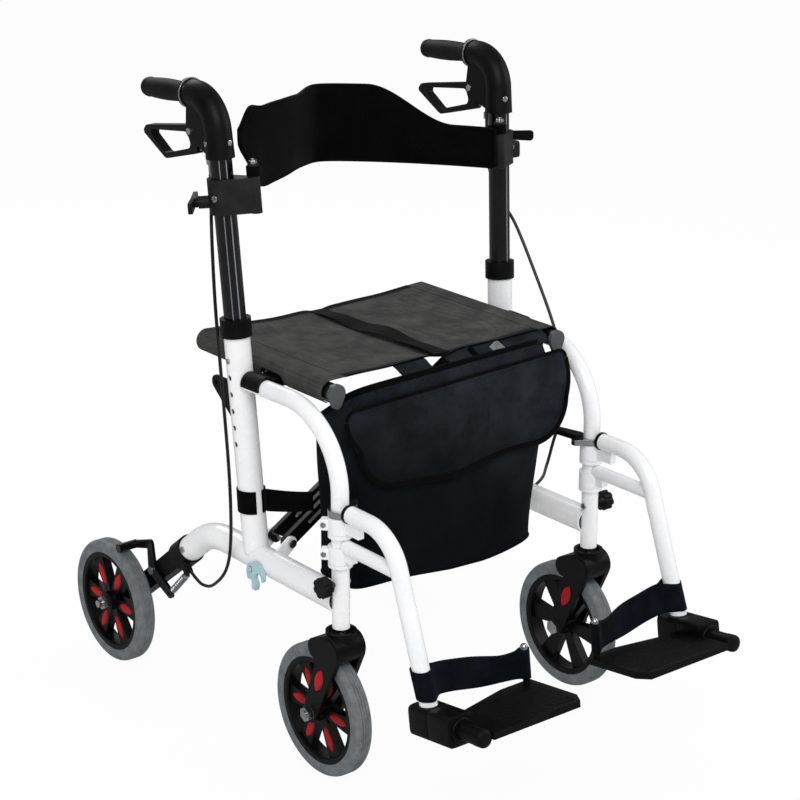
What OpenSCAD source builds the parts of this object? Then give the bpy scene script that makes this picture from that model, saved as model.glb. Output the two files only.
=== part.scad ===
// Folding rollator that doubles as a transport chair, in millimetres.
// +Z is up, the footrests face -Y and the floor is z = 0.
// Left is the user's left, +X. Pieces are drawn on the left and mirrored to the right.

/* [Wheels] */
// Diameter of all four wheels
wheel_d = 200; // [180:1:220]
// Width of a tyre
tyre_w = 29; // [24:1:34]
// Radial depth of a tyre
tyre_depth = 19; // [14:1:24]
// Radial depth of the rim ring inside the tyre
rim_depth = 9; // [6:1:14]
// Number of spokes in a rim
spoke_count = 6; // [5:1:7]
// Width of a spoke at the hub
spoke_root_w = 14; // [10:1:14]
// Width of a spoke at the rim ring
spoke_tip_w = 29; // [22:1:34]
// Diameter of the wheel hub
hub_d = 32; // [26:1:40]
// How far the hub stands past the tyre on each side
hub_over = 2.7; // [2:0.1:5]
// Diameter of the wheel axles
axle_d = 12; // [8:1:14]
// How far the rear wheels stand outside the side frames
rear_out = 34; // [32:1:50]

/* [Casters] */
// Trail of a caster wheel behind its swivel axis
caster_trail = 44; // [35:1:55]
// Thickness of a fork leg
fork_leg_t = 8; // [6:0.5:10]
// Gap between the tyre and the fork crown
crown_gap = 5; // [4:0.5:8]
// Height of the fork head above the tyre
fork_head_h = 40; // [36:1:50]
// Diameter of the fork head's cup
fork_cup_d = 45; // [38:1:50]
// Diameter of the swivel stem
stem_d = 12; // [10:0.5:14]
// Length of stem inside the front post
stem_len = 36; // [30:1:40]

/* [Side frames] */
// Distance between the two front posts
frame_w = 474; // [440:1:520]
// Place of the front post, ahead of the middle
post_y = -174; // [-190:1:-160]
// Diameter of the front post and of its arc
post_d = 25.4; // [22:0.1:28]
// Wall of the front post
post_wall = 2; // [1.5:0.1:3]
// Bare stem between the fork head and the front post
stem_show = 4; // [2:0.5:8]
// Height of the arc tube
arc_z = 555; // [530:1:580]
// Bend radius of the arc tube
arc_r = 112; // [90:1:130]
// Height of the lower tube
lower_z = 285; // [275:1:300]
// Diameter of the lower tube
lower_d = 40; // [34:1:44]
// Wall of the lower tube
lower_wall = 2.5; // [2:0.1:3.5]
// Place of the bend in the lower tube
bend_y = 148; // [135:1:165]
// Radius of the bend in the lower tube
bend_r = 120; // [90:1:140]
// Downward slope of the lower tube's rear end, in degrees
drop = 37.8; // [34:0.1:42]
// Length of the sloping part of the lower tube
rear_len = 99; // [85:1:115]
// Diameter of the upright
upright_d = 38; // [36:0.5:42]
// Wall of the upright
upright_wall = 2; // [1.5:0.1:2.5]
// Place of the upright's foot
upright_y = 31.5; // [20:0.5:45]
// Backward lean of the upright, in degrees
upright_lean = 3.9; // [2:0.1:6]
// Outward splay of the upright, in degrees
upright_splay = 1.8; // [0.5:0.1:3]
// Length of the upright
upright_len = 351; // [330:1:380]
// Spacing of the height holes
hole_pitch = 25; // [20:1:27]
// Number of height holes
hole_count = 6; // [4:1:7]
// Top height hole, below the upright's end
hole_drop = 50; // [40:1:60]
// Diameter of the height button
button_d = 8; // [6:0.5:10]

/* [Handles] */
// Diameter of the handle tube
handle_d = 32; // [28:0.5:33]
// Wall of the handle tube
handle_wall = 2; // [1.5:0.1:3]
// Handle tube inside the upright
handle_in = 90; // [75:1:110]
// Height of the grip's axis along the upright
grip_h = 678; // [650:1:720]
// Bend radius of the handle housing
elbow_r = 50; // [42:1:60]
// Diameter of the handle housing
housing_d = 39; // [37:0.5:44]
// Length of a grip
grip_len = 112; // [95:1:125]
// Diameter of a grip
grip_d = 31; // [27:0.5:35]
// Width of the brake lever's band
lever_w = 14; // [10:1:18]
// Thickness of the brake lever's band
lever_t = 6; // [4:0.5:8]
// Reach of the brake lever behind its pivot
lever_reach = 130; // [115:1:145]
// Height of the backrest clamp along the upright
clamp_h = 513; // [480:1:520]
// Height of the backrest clamp itself
clamp_len = 50; // [40:1:56]
// Length of the backrest's hinge barrel
barrel_len = 70; // [60:1:74]
// Radius of the hinge barrel
barrel_r = 8; // [6:0.5:10]

/* [Fold] */
// Distance between the lower pivots of the cross braces
pivot_w = 416; // [380:1:420]
// Height of the lower pivots
pivot_z = 312; // [306:1:320]
// Middle of the cross braces, front to back
brace_y = 9; // [0:1:15]
// Width of a brace bar
bar_w = 21; // [18:1:23]
// Thickness of a brace bar
bar_t = 8; // [6:0.5:10]
// Distance between the seat rails
rail_w = 410; // [380:1:415]
// Height of the seat rails
rail_z = 570; // [560:1:580]
// Diameter of a seat rail
rail_d = 25; // [22:0.5:27]
// Wall of a seat rail
rail_wall = 2; // [1.5:0.1:3]
// Front end of the seat rails
rail_front = -122; // [-130:1:-110]
// Rear end of the seat rails
rail_rear = 186; // [170:1:200]
// Diameter of the braces' pivot pins
pivot_d = 8; // [6:0.5:10]
// Diameter of the bolt where the braces cross
cross_d = 10; // [8:0.5:12]

/* [Seat and back] */
// Thickness of the seat sling
sling_t = 4; // [3:0.5:6]
// Sag of the seat sling
sling_sag = 9; // [4:0.5:14]
// Thickness of the backrest pad
pad_t = 18; // [14:1:24]
// Height of the backrest pad at its ends
pad_end_h = 62; // [55:1:70]
// Height of the backrest pad in the middle
pad_mid_h = 118; // [100:1:140]
// Height of the backrest pad's right wing
pad_right_h = 108; // [90:1:120]
// How far the right wing is pulled up
pad_lift = 18; // [0:1:26]
// How far the middle of the backrest pad lies behind its ends
pad_depth = 168; // [130:1:185]

/* [Bag] */
// Width of the bag
bag_w = 376; // [340:1:380]
// Depth of the bag, front to back
bag_depth = 92; // [70:1:95]
// Front of the bag, behind the rails' front ends
bag_set_back = -20; // [-24:1:-10]
// Bottom of the bag
bag_bottom = 256; // [250:1:300]
// Height of the flap over the bag's front
flap_h = 150; // [110:1:170]
// Thickness of the flap
flap_t = 4; // [3:0.5:6]

/* [Footrests] */
// Diameter of the hanger tube
hanger_d = 25; // [22:0.5:27]
// Wall of the hanger tube
hanger_wall = 2; // [1.5:0.1:3]
// Height of the hanger's upper tube
hanger_z = 421; // [412:1:430]
// Height of the hanger's cross tube
cross_z = 370; // [364:1:374]
// Corner of the hanger tube, ahead of the front post
hanger_corner = 114; // [100:1:125]
// Bend radius of the hanger tube
hanger_r = 70; // [55:1:80]
// Slope of the hanger tube from the vertical, in degrees
hanger_slope = 20.2; // [15:0.1:24]
// Radius of a knuckle around the front post
knuckle_r = 17.5; // [16:0.5:20]
// Height of a knuckle
knuckle_h = 24; // [20:1:26]
// Upward tilt of the footplate's toe, in degrees
foot_tilt = 8; // [5:0.5:10]
// Height of the flip pin at the front of the foot block
flip_z = 181; // [174:1:190]
// Front of the foot block, ahead of the front post
foot_front = 216; // [212:1:222]
// Length of the foot block
block_len = 38; // [36:1:42]
// Radius of the foot block and of the footplate's sleeve
block_r = 21; // [18:0.5:23]
// Radius of the flip pin
flip_r = 12; // [9:0.5:13]
// Length of the flip pin ahead of the block
flip_len = 95; // [80:1:105]
// Length of the footplate's sleeve
sleeve_len = 44; // [36:1:50]
// Width of the footplate, from the flip pin inwards
plate_w = 180; // [160:1:190]
// Rear edge of the footplate, behind the front of the block
plate_back = 20; // [12:1:22]
// Thickness of the footplate
plate_t = 10; // [8:0.5:12]
// Number of ribs on the footplate
rib_count = 12; // [8:1:16]
// Height of the heel post
heel_h = 50; // [40:1:60]

/* [Fits] */
// Radial clearance of a shaft that turns or slides
running = 0.05; // [0.02:0.01:0.1]
// Clearance of pieces that are pressed or bolted together
seat = 0.03; // [0.02:0.01:0.05]
// Gap between pieces that move past each other
gap = 0.3; // [0.2:0.05:0.5]

/* [Hidden] */
$fn = 48;

// Places that several pieces share
frame_x = frame_w / 2;
wheel_r = wheel_d / 2;
rear_x = frame_x + rear_out;
hub_w = tyre_w + 2 * hub_over;
tyre_seat_r = wheel_r - tyre_depth;
rim_in_r = tyre_seat_r - rim_depth;
rim_w = tyre_w - 3;
bead_w = 8;
bead_h = 2.5;
spoke_x = [-6, 8];
inlay_len = 38;
inlay_wid = 13;
inlay_sink = 1;
inlay_rise = 1;

fork_top = wheel_d + fork_head_h;
fork_in = hub_w / 2 + gap;
fork_out = fork_in + fork_leg_t;
post_r = post_d / 2;
post_bottom = fork_top + stem_show;
lower_r = lower_d / 2;
rear_axle_y = bend_y + (lower_z - wheel_r) / tan(drop);
bend_tangent = bend_r * tan(drop / 2);
rear_dir = [0, cos(drop), -sin(drop)];
post_notch = 4;
// Overlap of two drawn pieces that are one tube
bite = 0.02;

upright_r = upright_d / 2;
upright_in = upright_r - upright_wall;
handle_r = handle_d / 2;
hole_top = upright_len - hole_drop;
function upright_x_at(z) = frame_x + (z - lower_z) * tan(upright_splay);
function upright_y_at(z) = upright_y + (z - lower_z) * tan(upright_lean) / cos(upright_splay);
run = [upright_x_at(arc_z) - frame_x, upright_y_at(arc_z) - post_y];
front_yaw = atan2(run[0], run[1]);

housing_r = housing_d / 2;
housing_h = grip_h - elbow_r - 36;
lever_pivot = [elbow_r + 5, grip_h - 52];
barrel_at = [-29, -36];
wing_angle = 38.5;
wing_len = 92;
lug_low = clamp_h + 18;
lug_high = clamp_h + clamp_len - 12;
wing_reach = 36;
adjuster_y = 28;

rail_r = rail_d / 2;
pivot_x = pivot_w / 2;
rail_x = rail_w / 2;
bar_angle = atan2(rail_z - pivot_z, pivot_x + rail_x);
cross_z_at = pivot_z + pivot_x * tan(bar_angle);
outer_bars = 28;
inner_bars = outer_bars - bar_t - 4;
ear_t = 4;

knuckle_z = [hanger_z - 21 - knuckle_h / 2, cross_z - 14 - knuckle_h / 2];
collar_h = 6;
hanger_turn = 90 - hanger_slope;
hanger_tangent = hanger_r * tan(hanger_turn / 2);
hanger_dir = [0, -sin(hanger_slope), -cos(hanger_slope)];
knob_z = lower_z + lower_d / 2 + 7;
foot_x = frame_x - 2;
plate_top = 5;
heel_at = [12 - plate_w, plate_back - 7];

// Ways to lay a drawing or a bar along an axis

// Mirror image for the right side
module flip() { mirror([1, 0, 0]) children(); }

// Ring between two radii
module annulus(outer, inner) {
    difference() {
        circle(outer);
        circle(inner);
    }
}

// Solid round bars along the three axes
module bar_x(r, x0, x1) { translate([x0, 0, 0]) rotate([0, 90, 0]) cylinder(r = r, h = x1 - x0); }
module bar_y(r, y0, y1) { translate([0, y0, 0]) rotate([-90, 0, 0]) cylinder(r = r, h = y1 - y0); }
module bar_z(r, z0, z1) { translate([0, 0, z0]) cylinder(r = r, h = z1 - z0); }

// Tubes along Z and Y
module pipe_z(d, wall, z0, z1) {
    translate([0, 0, z0]) linear_extrude(z1 - z0) annulus(d / 2, d / 2 - wall);
}
module pipe_y(d, wall, y0, y1) { rotate([-90, 0, 0]) pipe_z(d, wall, y0, y1); }

// Bend of a tube in the Y-Z plane about the origin, angles from +Y towards +Z
module bend_yz(r, a0, a1, d, wall) {
    rotate([90, 0, 90]) rotate([0, 0, a0]) rotate_extrude(angle = a1 - a0)
        translate([r, 0]) annulus(d / 2, d / 2 - wall);
}

// Thicken a drawing of the Y-Z plane along X, of the X-Z plane along Y
module extrude_x(x0, x1) {
    translate([x0, 0, 0]) rotate([90, 0, 90]) linear_extrude(x1 - x0) children();
}
module extrude_y(y0, y1) {
    translate([0, y1, 0]) rotate([90, 0, 0]) linear_extrude(y1 - y0) children();
}

// Two circles joined by their outer tangents
module link(p1, r1, p2, r2) {
    a = acos((r1 - r2) / norm(p2 - p1));
    b = atan2(p2[1] - p1[1], p2[0] - p1[0]);
    up = [cos(b + a), sin(b + a)];
    down = [cos(b - a), sin(b - a)];
    translate(p1) circle(r1);
    translate(p2) circle(r2);
    polygon([p1 + r1 * up, p2 + r2 * up, p2 + r2 * down, p1 + r1 * down]);
}

// Pointed oval of a length and a width, long along the first axis
module leaf(length, width) {
    r = (length * length + width * width) / (4 * width);
    intersection() {
        translate([0, r - width / 2]) circle(r, $fn = 96);
        translate([0, width / 2 - r]) circle(r, $fn = 96);
    }
}

// Stand on the upright's axis, z along it from the lower tube
module on_upright() {
    translate([frame_x, upright_y, lower_z]) rotate([-upright_lean, upright_splay, 0]) children();
}
// Stand on the sloping rear tube, z along it from its bend, -y upwards
module on_rear() { translate([frame_x, bend_y, lower_z]) rotate([-90 - drop, 0, 0]) children(); }
// Stand on the front post's axis
module on_post() { translate([frame_x, post_y, 0]) children(); }
// Stand on the footplate's flip pin at the front of the foot block, -y towards the toe
module on_foot() {
    translate([foot_x, post_y - foot_front, flip_z]) rotate([-foot_tilt, 0, 0]) children();
}

// Swept skins: rings of points in order, closed by end caps, all faces triangles
function ring_faces(n, m) = concat(
    [for (i = [0 : n - 2], j = [0 : m - 1]) [i * m + j, (i + 1) * m + j, (i + 1) * m + (j + 1) % m]],
    [for (i = [0 : n - 2], j = [0 : m - 1]) [i * m + j, (i + 1) * m + (j + 1) % m, i * m + (j + 1) % m]],
    [for (j = [1 : m - 2]) [0, j, j + 1]],
    [for (j = [1 : m - 2]) [(n - 1) * m, (n - 1) * m + j + 1, (n - 1) * m + j]]);

// Point on a smooth curve through four points
function curve(a, b, c, d, t) = 0.5 * (2 * b + (c - a) * t + (2 * a - 5 * b + 4 * c - d) * t * t
    + (3 * b - a - 3 * c + d) * t * t * t);
function smooth_path(p, steps) = concat([for (i = [0 : len(p) - 2], k = [0 : steps - 1])
    curve(p[max(i - 1, 0)], p[i], p[i + 1], p[min(i + 2, len(p) - 1)], k / steps)], [p[len(p) - 1]]);
function unit(v) = v / norm(v);

// Corners of an outline rounded to the given radii with arcs of n steps
function rounded(p, r, n) = let (c = len(p)) [for (i = [0 : c - 1]) let (
    a = unit(p[(i + c - 1) % c] - p[i]), b = unit(p[(i + 1) % c] - p[i]),
    half = acos(a * b) / 2, mid = p[i] + unit(a + b) * r[i] / sin(half),
    from = p[i] + a * r[i] / tan(half) - mid, to = p[i] + b * r[i] / tan(half) - mid)
    for (k = [0 : n]) mid + r[i] * unit(from * (1 - k / n) + to * k / n)];

// Wheels: axis along X, outer side +X

module rim() {
    color("#18181a") difference() {
        union() {
            rotate([0, 90, 0]) rotate_extrude() polygon([
                [rim_in_r, -rim_w / 2 + 2], [rim_in_r + 2, -rim_w / 2], [tyre_seat_r, -rim_w / 2],
                [tyre_seat_r, -bead_w / 2], [tyre_seat_r + bead_h, -bead_w / 2],
                [tyre_seat_r + bead_h, bead_w / 2], [tyre_seat_r, bead_w / 2],
                [tyre_seat_r, rim_w / 2], [rim_in_r + 2, rim_w / 2], [rim_in_r, rim_w / 2 - 2]]);
            bar_x(hub_d / 2, -hub_w / 2, hub_w / 2);
            for (i = [0 : spoke_count - 1])
                rotate([i * 360 / spoke_count, 0, 0]) extrude_x(spoke_x[0], spoke_x[1]) polygon([
                    [hub_d / 2 - 3, -spoke_root_w / 2], [rim_in_r + 1, -spoke_tip_w / 2],
                    [rim_in_r + 1, spoke_tip_w / 2], [hub_d / 2 - 3, spoke_root_w / 2]]);
        }
        bar_x(axle_d / 2 + running, -hub_w, hub_w);
        inlays(seat, inlay_sink);
    }
    color("#b8202a") inlays(0, inlay_sink - seat);
}

// Leaf-shaped inlays on the spokes' outer faces
module inlays(grow, sink) {
    mid = (hub_d / 2 + rim_in_r) / 2 + 1;
    for (i = [0 : spoke_count - 1])
        rotate([i * 360 / spoke_count, 0, 0]) extrude_x(spoke_x[1] - sink, spoke_x[1] + inlay_rise)
            translate([mid, 0]) leaf(inlay_len + 2 * grow, inlay_wid + 2 * grow);
}

module tyre() {
    shoulder = tyre_w * 0.26;
    half = tyre_w / 2;
    crown = half - shoulder;
    groove = 0.8;
    arc = [for (k = [0 : 6]) let (a = k * 15)
        [wheel_r - shoulder + shoulder * sin(a), -crown - shoulder * cos(a)]];
    grooves = [for (k = [-1 : 1], s = [[-0.8, 0], [-0.4, -groove], [0.4, -groove], [0.8, 0]])
        [wheel_r + s[1], k * crown * 0.6 + s[0]]];
    color("#6e6e70") rotate([0, 90, 0]) rotate_extrude() polygon(concat(
        [[tyre_seat_r + seat, -half + 1]], [for (p = arc) p], grooves,
        [for (k = [6 : -1 : 0]) [arc[k][0], -arc[k][1]]], [[tyre_seat_r + seat, half - 1],
        [tyre_seat_r + seat, bead_w / 2 + seat], [tyre_seat_r + bead_h + seat, bead_w / 2 + seat],
        [tyre_seat_r + bead_h + seat, -bead_w / 2 - seat], [tyre_seat_r + seat, -bead_w / 2 - seat]]));
}

module at_rear_wheel() { translate([rear_x, rear_axle_y, wheel_r]) children(); }
module at_caster() { translate([frame_x, post_y + caster_trail, wheel_r]) children(); }

// Axle bolt with a hexagon head inside and a nut and thread end outside
module axle_bolt(x0, x1, thread) {
    bar_x(axle_d / 2, x0, x1 + thread);
    bar_x(axle_d * 0.95, x0 - 7, x0, $fn = 6);
    bar_x(axle_d * 0.95, x1, x1 + 9, $fn = 6);
}

module rear_axle() {
    color("silver") translate([0, rear_axle_y, wheel_r])
        axle_bolt(frame_x - 14, rear_x + hub_w / 2 + gap, 16);
}

// Casters

module fork() {
    hub = [caster_trail, wheel_r];
    head = [-3, fork_top - 26];
    crown_out = fork_out - 1;
    on_post() {
        color("#1a1a1c") difference() {
            union() {
                extrude_x(-crown_out, crown_out) link(head, 22, [caster_trail * 0.7, fork_top - 34], 16);
                for (x = [-fork_out, fork_in])
                    extrude_x(x, x + fork_leg_t) link([-2, head[1] - 4], 21, hub, 15);
                bar_z(fork_cup_d / 2, fork_top - 18, fork_top);
            }
            translate([0, hub[0], hub[1]]) bar_x(wheel_r + crown_gap, -fork_in, fork_in);
            translate([0, hub[0], hub[1]]) bar_x(axle_d / 2 + seat, -fork_out - 1, fork_out + 1);
            bar_z(fork_cup_d / 2 - 5, fork_top - 5, fork_top + 1);
            bar_z(stem_d / 2 + seat, fork_top - 24, fork_top);
            for (s = [0, 1]) mirror([s, 0, 0]) leg_inlay(head, hub, seat, inlay_sink);
        }
        color("#b8202a") for (s = [0, 1]) mirror([s, 0, 0]) leg_inlay(head, hub, 0, inlay_sink - seat);
        color("silver") bar_z(stem_d / 2, fork_top - 24 + seat, post_bottom + stem_len);
        color("silver") translate([0, hub[0], hub[1]]) axle_bolt(-fork_out - seat, fork_out + seat, 11);
    }
}

// Leaf-shaped inlay on a fork leg
module leg_inlay(head, hub, grow, sink) {
    extrude_x(fork_out - sink, fork_out + inlay_rise) translate((head + hub) / 2 + [0, 3])
        rotate(atan2(hub[1] - head[1], hub[0] - head[0]))
        leaf(inlay_len + 2 * grow, inlay_wid + 3 + 2 * grow);
}

// Side frames

module lower_tube(bar_off) {
    front = post_y + post_notch;
    straight_end = bend_y - bend_tangent;
    color("white") difference() {
        union() {
            translate([frame_x, straight_end, lower_z]) mirror([0, 1, 0]) {
                pipe_y(lower_d, lower_wall, 0, straight_end - front);
                translate([0, 0, -bend_r]) {
                    bend_yz(bend_r, 90, 90 + drop, lower_d, lower_wall);
                    rotate([90, 0, 90]) rotate([0, 0, 90 + drop]) translate([bend_r, 0, 0])
                        pipe_y(lower_d + 2 * bite, lower_wall + 2 * bite, -bite, rear_len - bend_tangent);
                }
            }
            for (y = ear_y(bar_off)) brace_ear(y);
        }
        on_post() bar_z(post_r, lower_z - lower_d, lower_z + lower_d);
        translate([pivot_x, brace_y, pivot_z]) bar_y(pivot_d / 2 + seat, -80, 80);
    }
}

// Plate that carries a brace's lower pivot
module brace_ear(y, grow = 0) {
    extrude_y(y - ear_t / 2 - grow, y + ear_t / 2 + grow) difference() {
        link([frame_x - 6, lower_z + 8], 11 + grow, [pivot_x, pivot_z], 10 + grow);
        translate([frame_x, lower_z]) circle(lower_r - 1);
    }
}
// Place of the two ears beside the brace's bars
function ear_y(bar_off) = [for (s = [-1, 1]) brace_y + s * (bar_off + bar_t / 2 + gap + ear_t / 2)];

// Tube with a slot for the ear that runs into it
module upright(bar_off) {
    color("white") difference() {
        on_upright() difference() {
            pipe_z(upright_d, upright_wall, 0, upright_len);
            for (i = [0 : hole_count - 1])
                translate([0, 0, hole_top - i * hole_pitch]) bar_x(button_d / 2 + gap, 0, upright_d);
        }
        translate([frame_x, upright_y, lower_z]) bar_y(lower_r, -60, 60);
        brace_ear(ear_y(bar_off)[1], seat);
    }
}

module front_tube() {
    color("white") difference() {
        on_post() rotate([0, 0, -front_yaw]) {
            pipe_z(post_d, post_wall, post_bottom, arc_z - arc_r);
            translate([0, arc_r, arc_z - arc_r]) bend_yz(arc_r, 90, 180, post_d, post_wall);
            translate([0, 0, arc_z]) pipe_y(post_d, post_wall, arc_r, norm(run));
            for (z = knuckle_z)
                pipe_z(2 * knuckle_r, knuckle_r - post_r + 0.5, z - collar_h - gap, z - gap);
        }
        on_upright() bar_z(upright_r, 200, upright_len);
        on_post() translate([0, 0, knob_z]) bar_x(4 + running, 0, post_d);
    }
}

// Small pieces that stay with a side frame
module frame_fittings(bar_off) {
    upright_collar();
    rail_saddle();
    rear_plate();
    latch_bracket();
    color("#202022") on_post() pipe_z(post_d - 2 * post_wall - 2 * seat,
        post_r - post_wall - seat - stem_d / 2 - running, post_bottom, post_bottom + stem_len - 4);
    pin_half = bar_off + bar_t / 2 + gap + ear_t;
    color("silver") translate([pivot_x, brace_y, pivot_z]) {
        bar_y(pivot_d / 2, -pin_half, pin_half);
        for (s = [-1, 1])
            translate([0, s * (pin_half + 2.5 + seat), 0]) bar_y(pivot_d * 0.8, -2.5, 2.5);
    }
}

module upright_collar() {
    color("#1c1c1e") on_upright() difference() {
        bar_z(upright_r + 3.5, upright_len - 16, upright_len + 11);
        bar_z(upright_r + seat, upright_len - 17, upright_len + seat);
        bar_z(handle_r + running, upright_len - 1, upright_len + 12);
    }
}

// Cap over the arc tube with a shelf that the seat rail drops onto
module rail_saddle() {
    color("#1c1c1e") difference() {
        union() {
            on_post() rotate([0, 0, -front_yaw]) translate([0, 0, arc_z]) intersection() {
                bar_y(post_r + 4, 164, 203);
                translate([-post_d, 160, -3]) cube([2 * post_d, 50, post_d]);
            }
            translate([rail_x + 4, post_y + 164, rail_z - rail_r - 4])
                cube([upright_x_at(arc_z) - rail_x - 6, 37, 12]);
        }
        on_post() rotate([0, 0, -front_yaw]) translate([0, 0, arc_z]) bar_y(post_r + seat, 150, 210);
        translate([rail_x, 0, rail_z]) bar_y(rail_r + gap, rail_front, rail_rear);
        on_upright() bar_z(upright_r + gap, 200, upright_len);
    }
}

// Plate behind the upright with a round hole through it
plate_hole = [112, 534];
plate_hole_r = 3;
guard_t = 4;
module rear_plate() {
    root = [upright_y_at(plate_hole[1]) + upright_r - 4, plate_hole[1] + 4];
    foot = [upright_y_at(plate_hole[1] - 46) + upright_r - 2, plate_hole[1] - 46];
    x = upright_x_at(plate_hole[1]);
    color("#1c1c1e") difference() {
        extrude_x(x - guard_t / 2, x + guard_t / 2) difference() {
            union() {
                link(plate_hole, 11, root, 7);
                link(plate_hole, 11, foot, 6);
                polygon([plate_hole, root, foot]);
            }
            translate(plate_hole) circle(plate_hole_r);
        }
        on_upright() bar_z(upright_r + seat, 120, upright_len);
    }
}

// Bright bracket on the inner side of the front post for the footrest latch
latch_at = [-24, 6];
latch_reach = [-8, 42];
latch_z = knuckle_z[0] + knuckle_h + 14;
module latch_bracket() {
    color("silver") on_post() difference() {
        translate([0, 0, latch_z - 12]) linear_extrude(9) link([0, 0], knuckle_r, latch_at, 9);
        bar_z(post_r + seat, latch_z - 20, latch_z + 20);
        translate([latch_at[0], latch_at[1], 0]) bar_z(4 + running, latch_z - 20, latch_z + 20);
    }
}

module latch_lever() {
    tip = latch_at + latch_reach;
    color("#161618") on_post() {
        translate([0, 0, latch_z - 3 + gap]) linear_extrude(8) link(latch_at, 9, tip, 6);
        translate([latch_at[0], latch_at[1], 0]) bar_z(4, latch_z - 13, latch_z);
    }
}

// Rear socket: collar on the tube's end, arm to the axle, brake pivot and cable stop
brake_pivot = [rear_axle_y - 87, wheel_r + 75];
brake_x = frame_x + 12.6;
stop_x = 16;
shoe_gap = 2;
shoe_r = 7;
shoe_dir = [-0.332, 0.943];
module rear_socket() {
    collar = [bend_y, lower_z] + [rear_dir[1], rear_dir[2]] * (rear_len + 4);
    axle = [rear_axle_y, wheel_r];
    color("#161618") difference() {
        union() {
            on_rear() bar_z(lower_r + 3, rear_len - 22, rear_len + 14);
            extrude_x(frame_x - 12, frame_x + 12) link(collar, 16, axle, 14.5);
            translate([0, axle[0], axle[1]]) bar_x(17, frame_x - 13, rear_x - hub_w / 2 - gap);
            on_rear() translate([stop_x - 6, lower_r - 2, rear_len - 19]) cube([12, 17, 9]);
        }
        on_rear() bar_z(lower_r + seat, rear_len - 23, rear_len + seat);
        translate([0, axle[0], axle[1]]) bar_x(axle_d / 2 + seat, frame_x - 20, rear_x);
        translate([0, brake_pivot[0], brake_pivot[1]]) bar_x(4 + seat, frame_x - 20, frame_x + 20);
    }
    color("silver") translate([0, brake_pivot[0], brake_pivot[1]]) {
        bar_x(4, frame_x - 14, brake_x + 5 + gap);
        bar_x(7, brake_x + 5 + gap, brake_x + 8);
    }
}

// Bell crank that presses a bar on the tyre
module brake_arm() {
    corner = brake_pivot + [4, 43];
    low = brake_pivot + [-49, -23];
    shoe = [rear_axle_y, wheel_r] + shoe_dir * (wheel_r + shoe_gap + shoe_r);
    color("#121214") {
        difference() {
            extrude_x(brake_x, brake_x + 5) {
                link(brake_pivot, 10, corner, 7);
                link(brake_pivot, 10, low, 8);
                link(corner, 7, shoe, 6);
            }
            translate([0, brake_pivot[0], brake_pivot[1]]) bar_x(4 + running, frame_x, frame_x + 30);
            translate([0, low[0], low[1]]) bar_x(2.5, frame_x, frame_x + 30);
        }
        translate([0, shoe[0], shoe[1]]) bar_x(shoe_r, brake_x, rear_x + tyre_w / 2 - 2);
    }
}

// Handles, in the upright's own frame

module handle_tube() {
    low = upright_len - handle_in;
    color("#101012") on_upright() difference() {
        pipe_z(handle_d, handle_wall, low, housing_h + 24);
        translate([0, 0, hole_top]) bar_x(button_d / 2 + running, 0, handle_d);
        for (a = [-50, -130]) rotate([0, 0, a])
            translate([handle_r - 0.6, -0.8, upright_len + 20]) cube([2, 1.6, clamp_h - upright_len - 30]);
    }
}

// Elbow that joins tube and grip, with two cheeks for the lever
module handle_housing() {
    cheek = lever_w / 2 + gap;
    ring_y = elbow_r + 8;
    color("#1b1b1d") on_upright() difference() {
        union() {
            translate([0, 0, housing_h]) cylinder(r1 = housing_r + 1.2, r2 = housing_r, h = 36);
            translate([0, elbow_r, grip_h - elbow_r]) rotate([90, 0, 90]) rotate([0, 0, 90])
                rotate_extrude(angle = 90) translate([elbow_r, 0]) circle(housing_r);
            translate([0, 0, grip_h]) {
                bar_y(housing_r, elbow_r, ring_y);
                bar_y(housing_r + 2, ring_y, ring_y + 6);
                bar_y(grip_d / 2 - 4, ring_y + 6, ring_y + grip_len - 6);
            }
            for (x = [-cheek - 5, cheek]) extrude_x(x, x + 5) {
                link(lever_pivot, 9, [18, lever_pivot[1] - 20], 8);
                link(lever_pivot, 9, [elbow_r, grip_h - 14], 7);
                polygon([lever_pivot, [elbow_r, grip_h - 14], [12, grip_h - 14], [12, lever_pivot[1] - 20]]);
            }
            translate([-cheek - 2, 14, housing_h + 8]) cube([2 * cheek + 4, adjuster_y - 6, 14]);
        }
        bar_z(handle_r + seat, housing_h - 1, housing_h + 24 + seat);
        translate([0, lever_pivot[0], lever_pivot[1]]) bar_x(3 + seat, -30, 30);
    }
    color("silver") on_upright() translate([0, lever_pivot[0], lever_pivot[1]]) {
        bar_x(3, -cheek - 5, cheek + 5);
        for (s = [-1, 1]) translate([s * (cheek + 6 + seat), 0, 0]) bar_x(5, -1, 1);
    }
    color("silver") on_upright() translate([0, adjuster_y, 0]) {
        bar_z(3, housing_h - 26, housing_h + 8 - seat);
        bar_z(5, housing_h - 12, housing_h - 2);
    }
}

module grip() {
    r = grip_d / 2;
    start = elbow_r + 14 + seat;
    swell = [for (k = [0 : 8]) let (t = k / 8) [r - 1.5 + 1.5 * sin(t * 180), t * (grip_len - 30) + 16]];
    color("#2a2a2c") on_upright() translate([0, start, grip_h]) rotate([-90, 0, 0]) difference() {
        rotate_extrude() polygon(concat([[0, 0], [r + 1, 0], [r + 1, 6], [r - 1, 8]], swell,
            [[r - 1, grip_len - 9], [r - 2, grip_len - 4], [r - 6, grip_len], [0, grip_len]]));
        translate([0, 0, -1]) cylinder(r = r - 4 + seat, h = grip_len - 10);
    }
}

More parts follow.
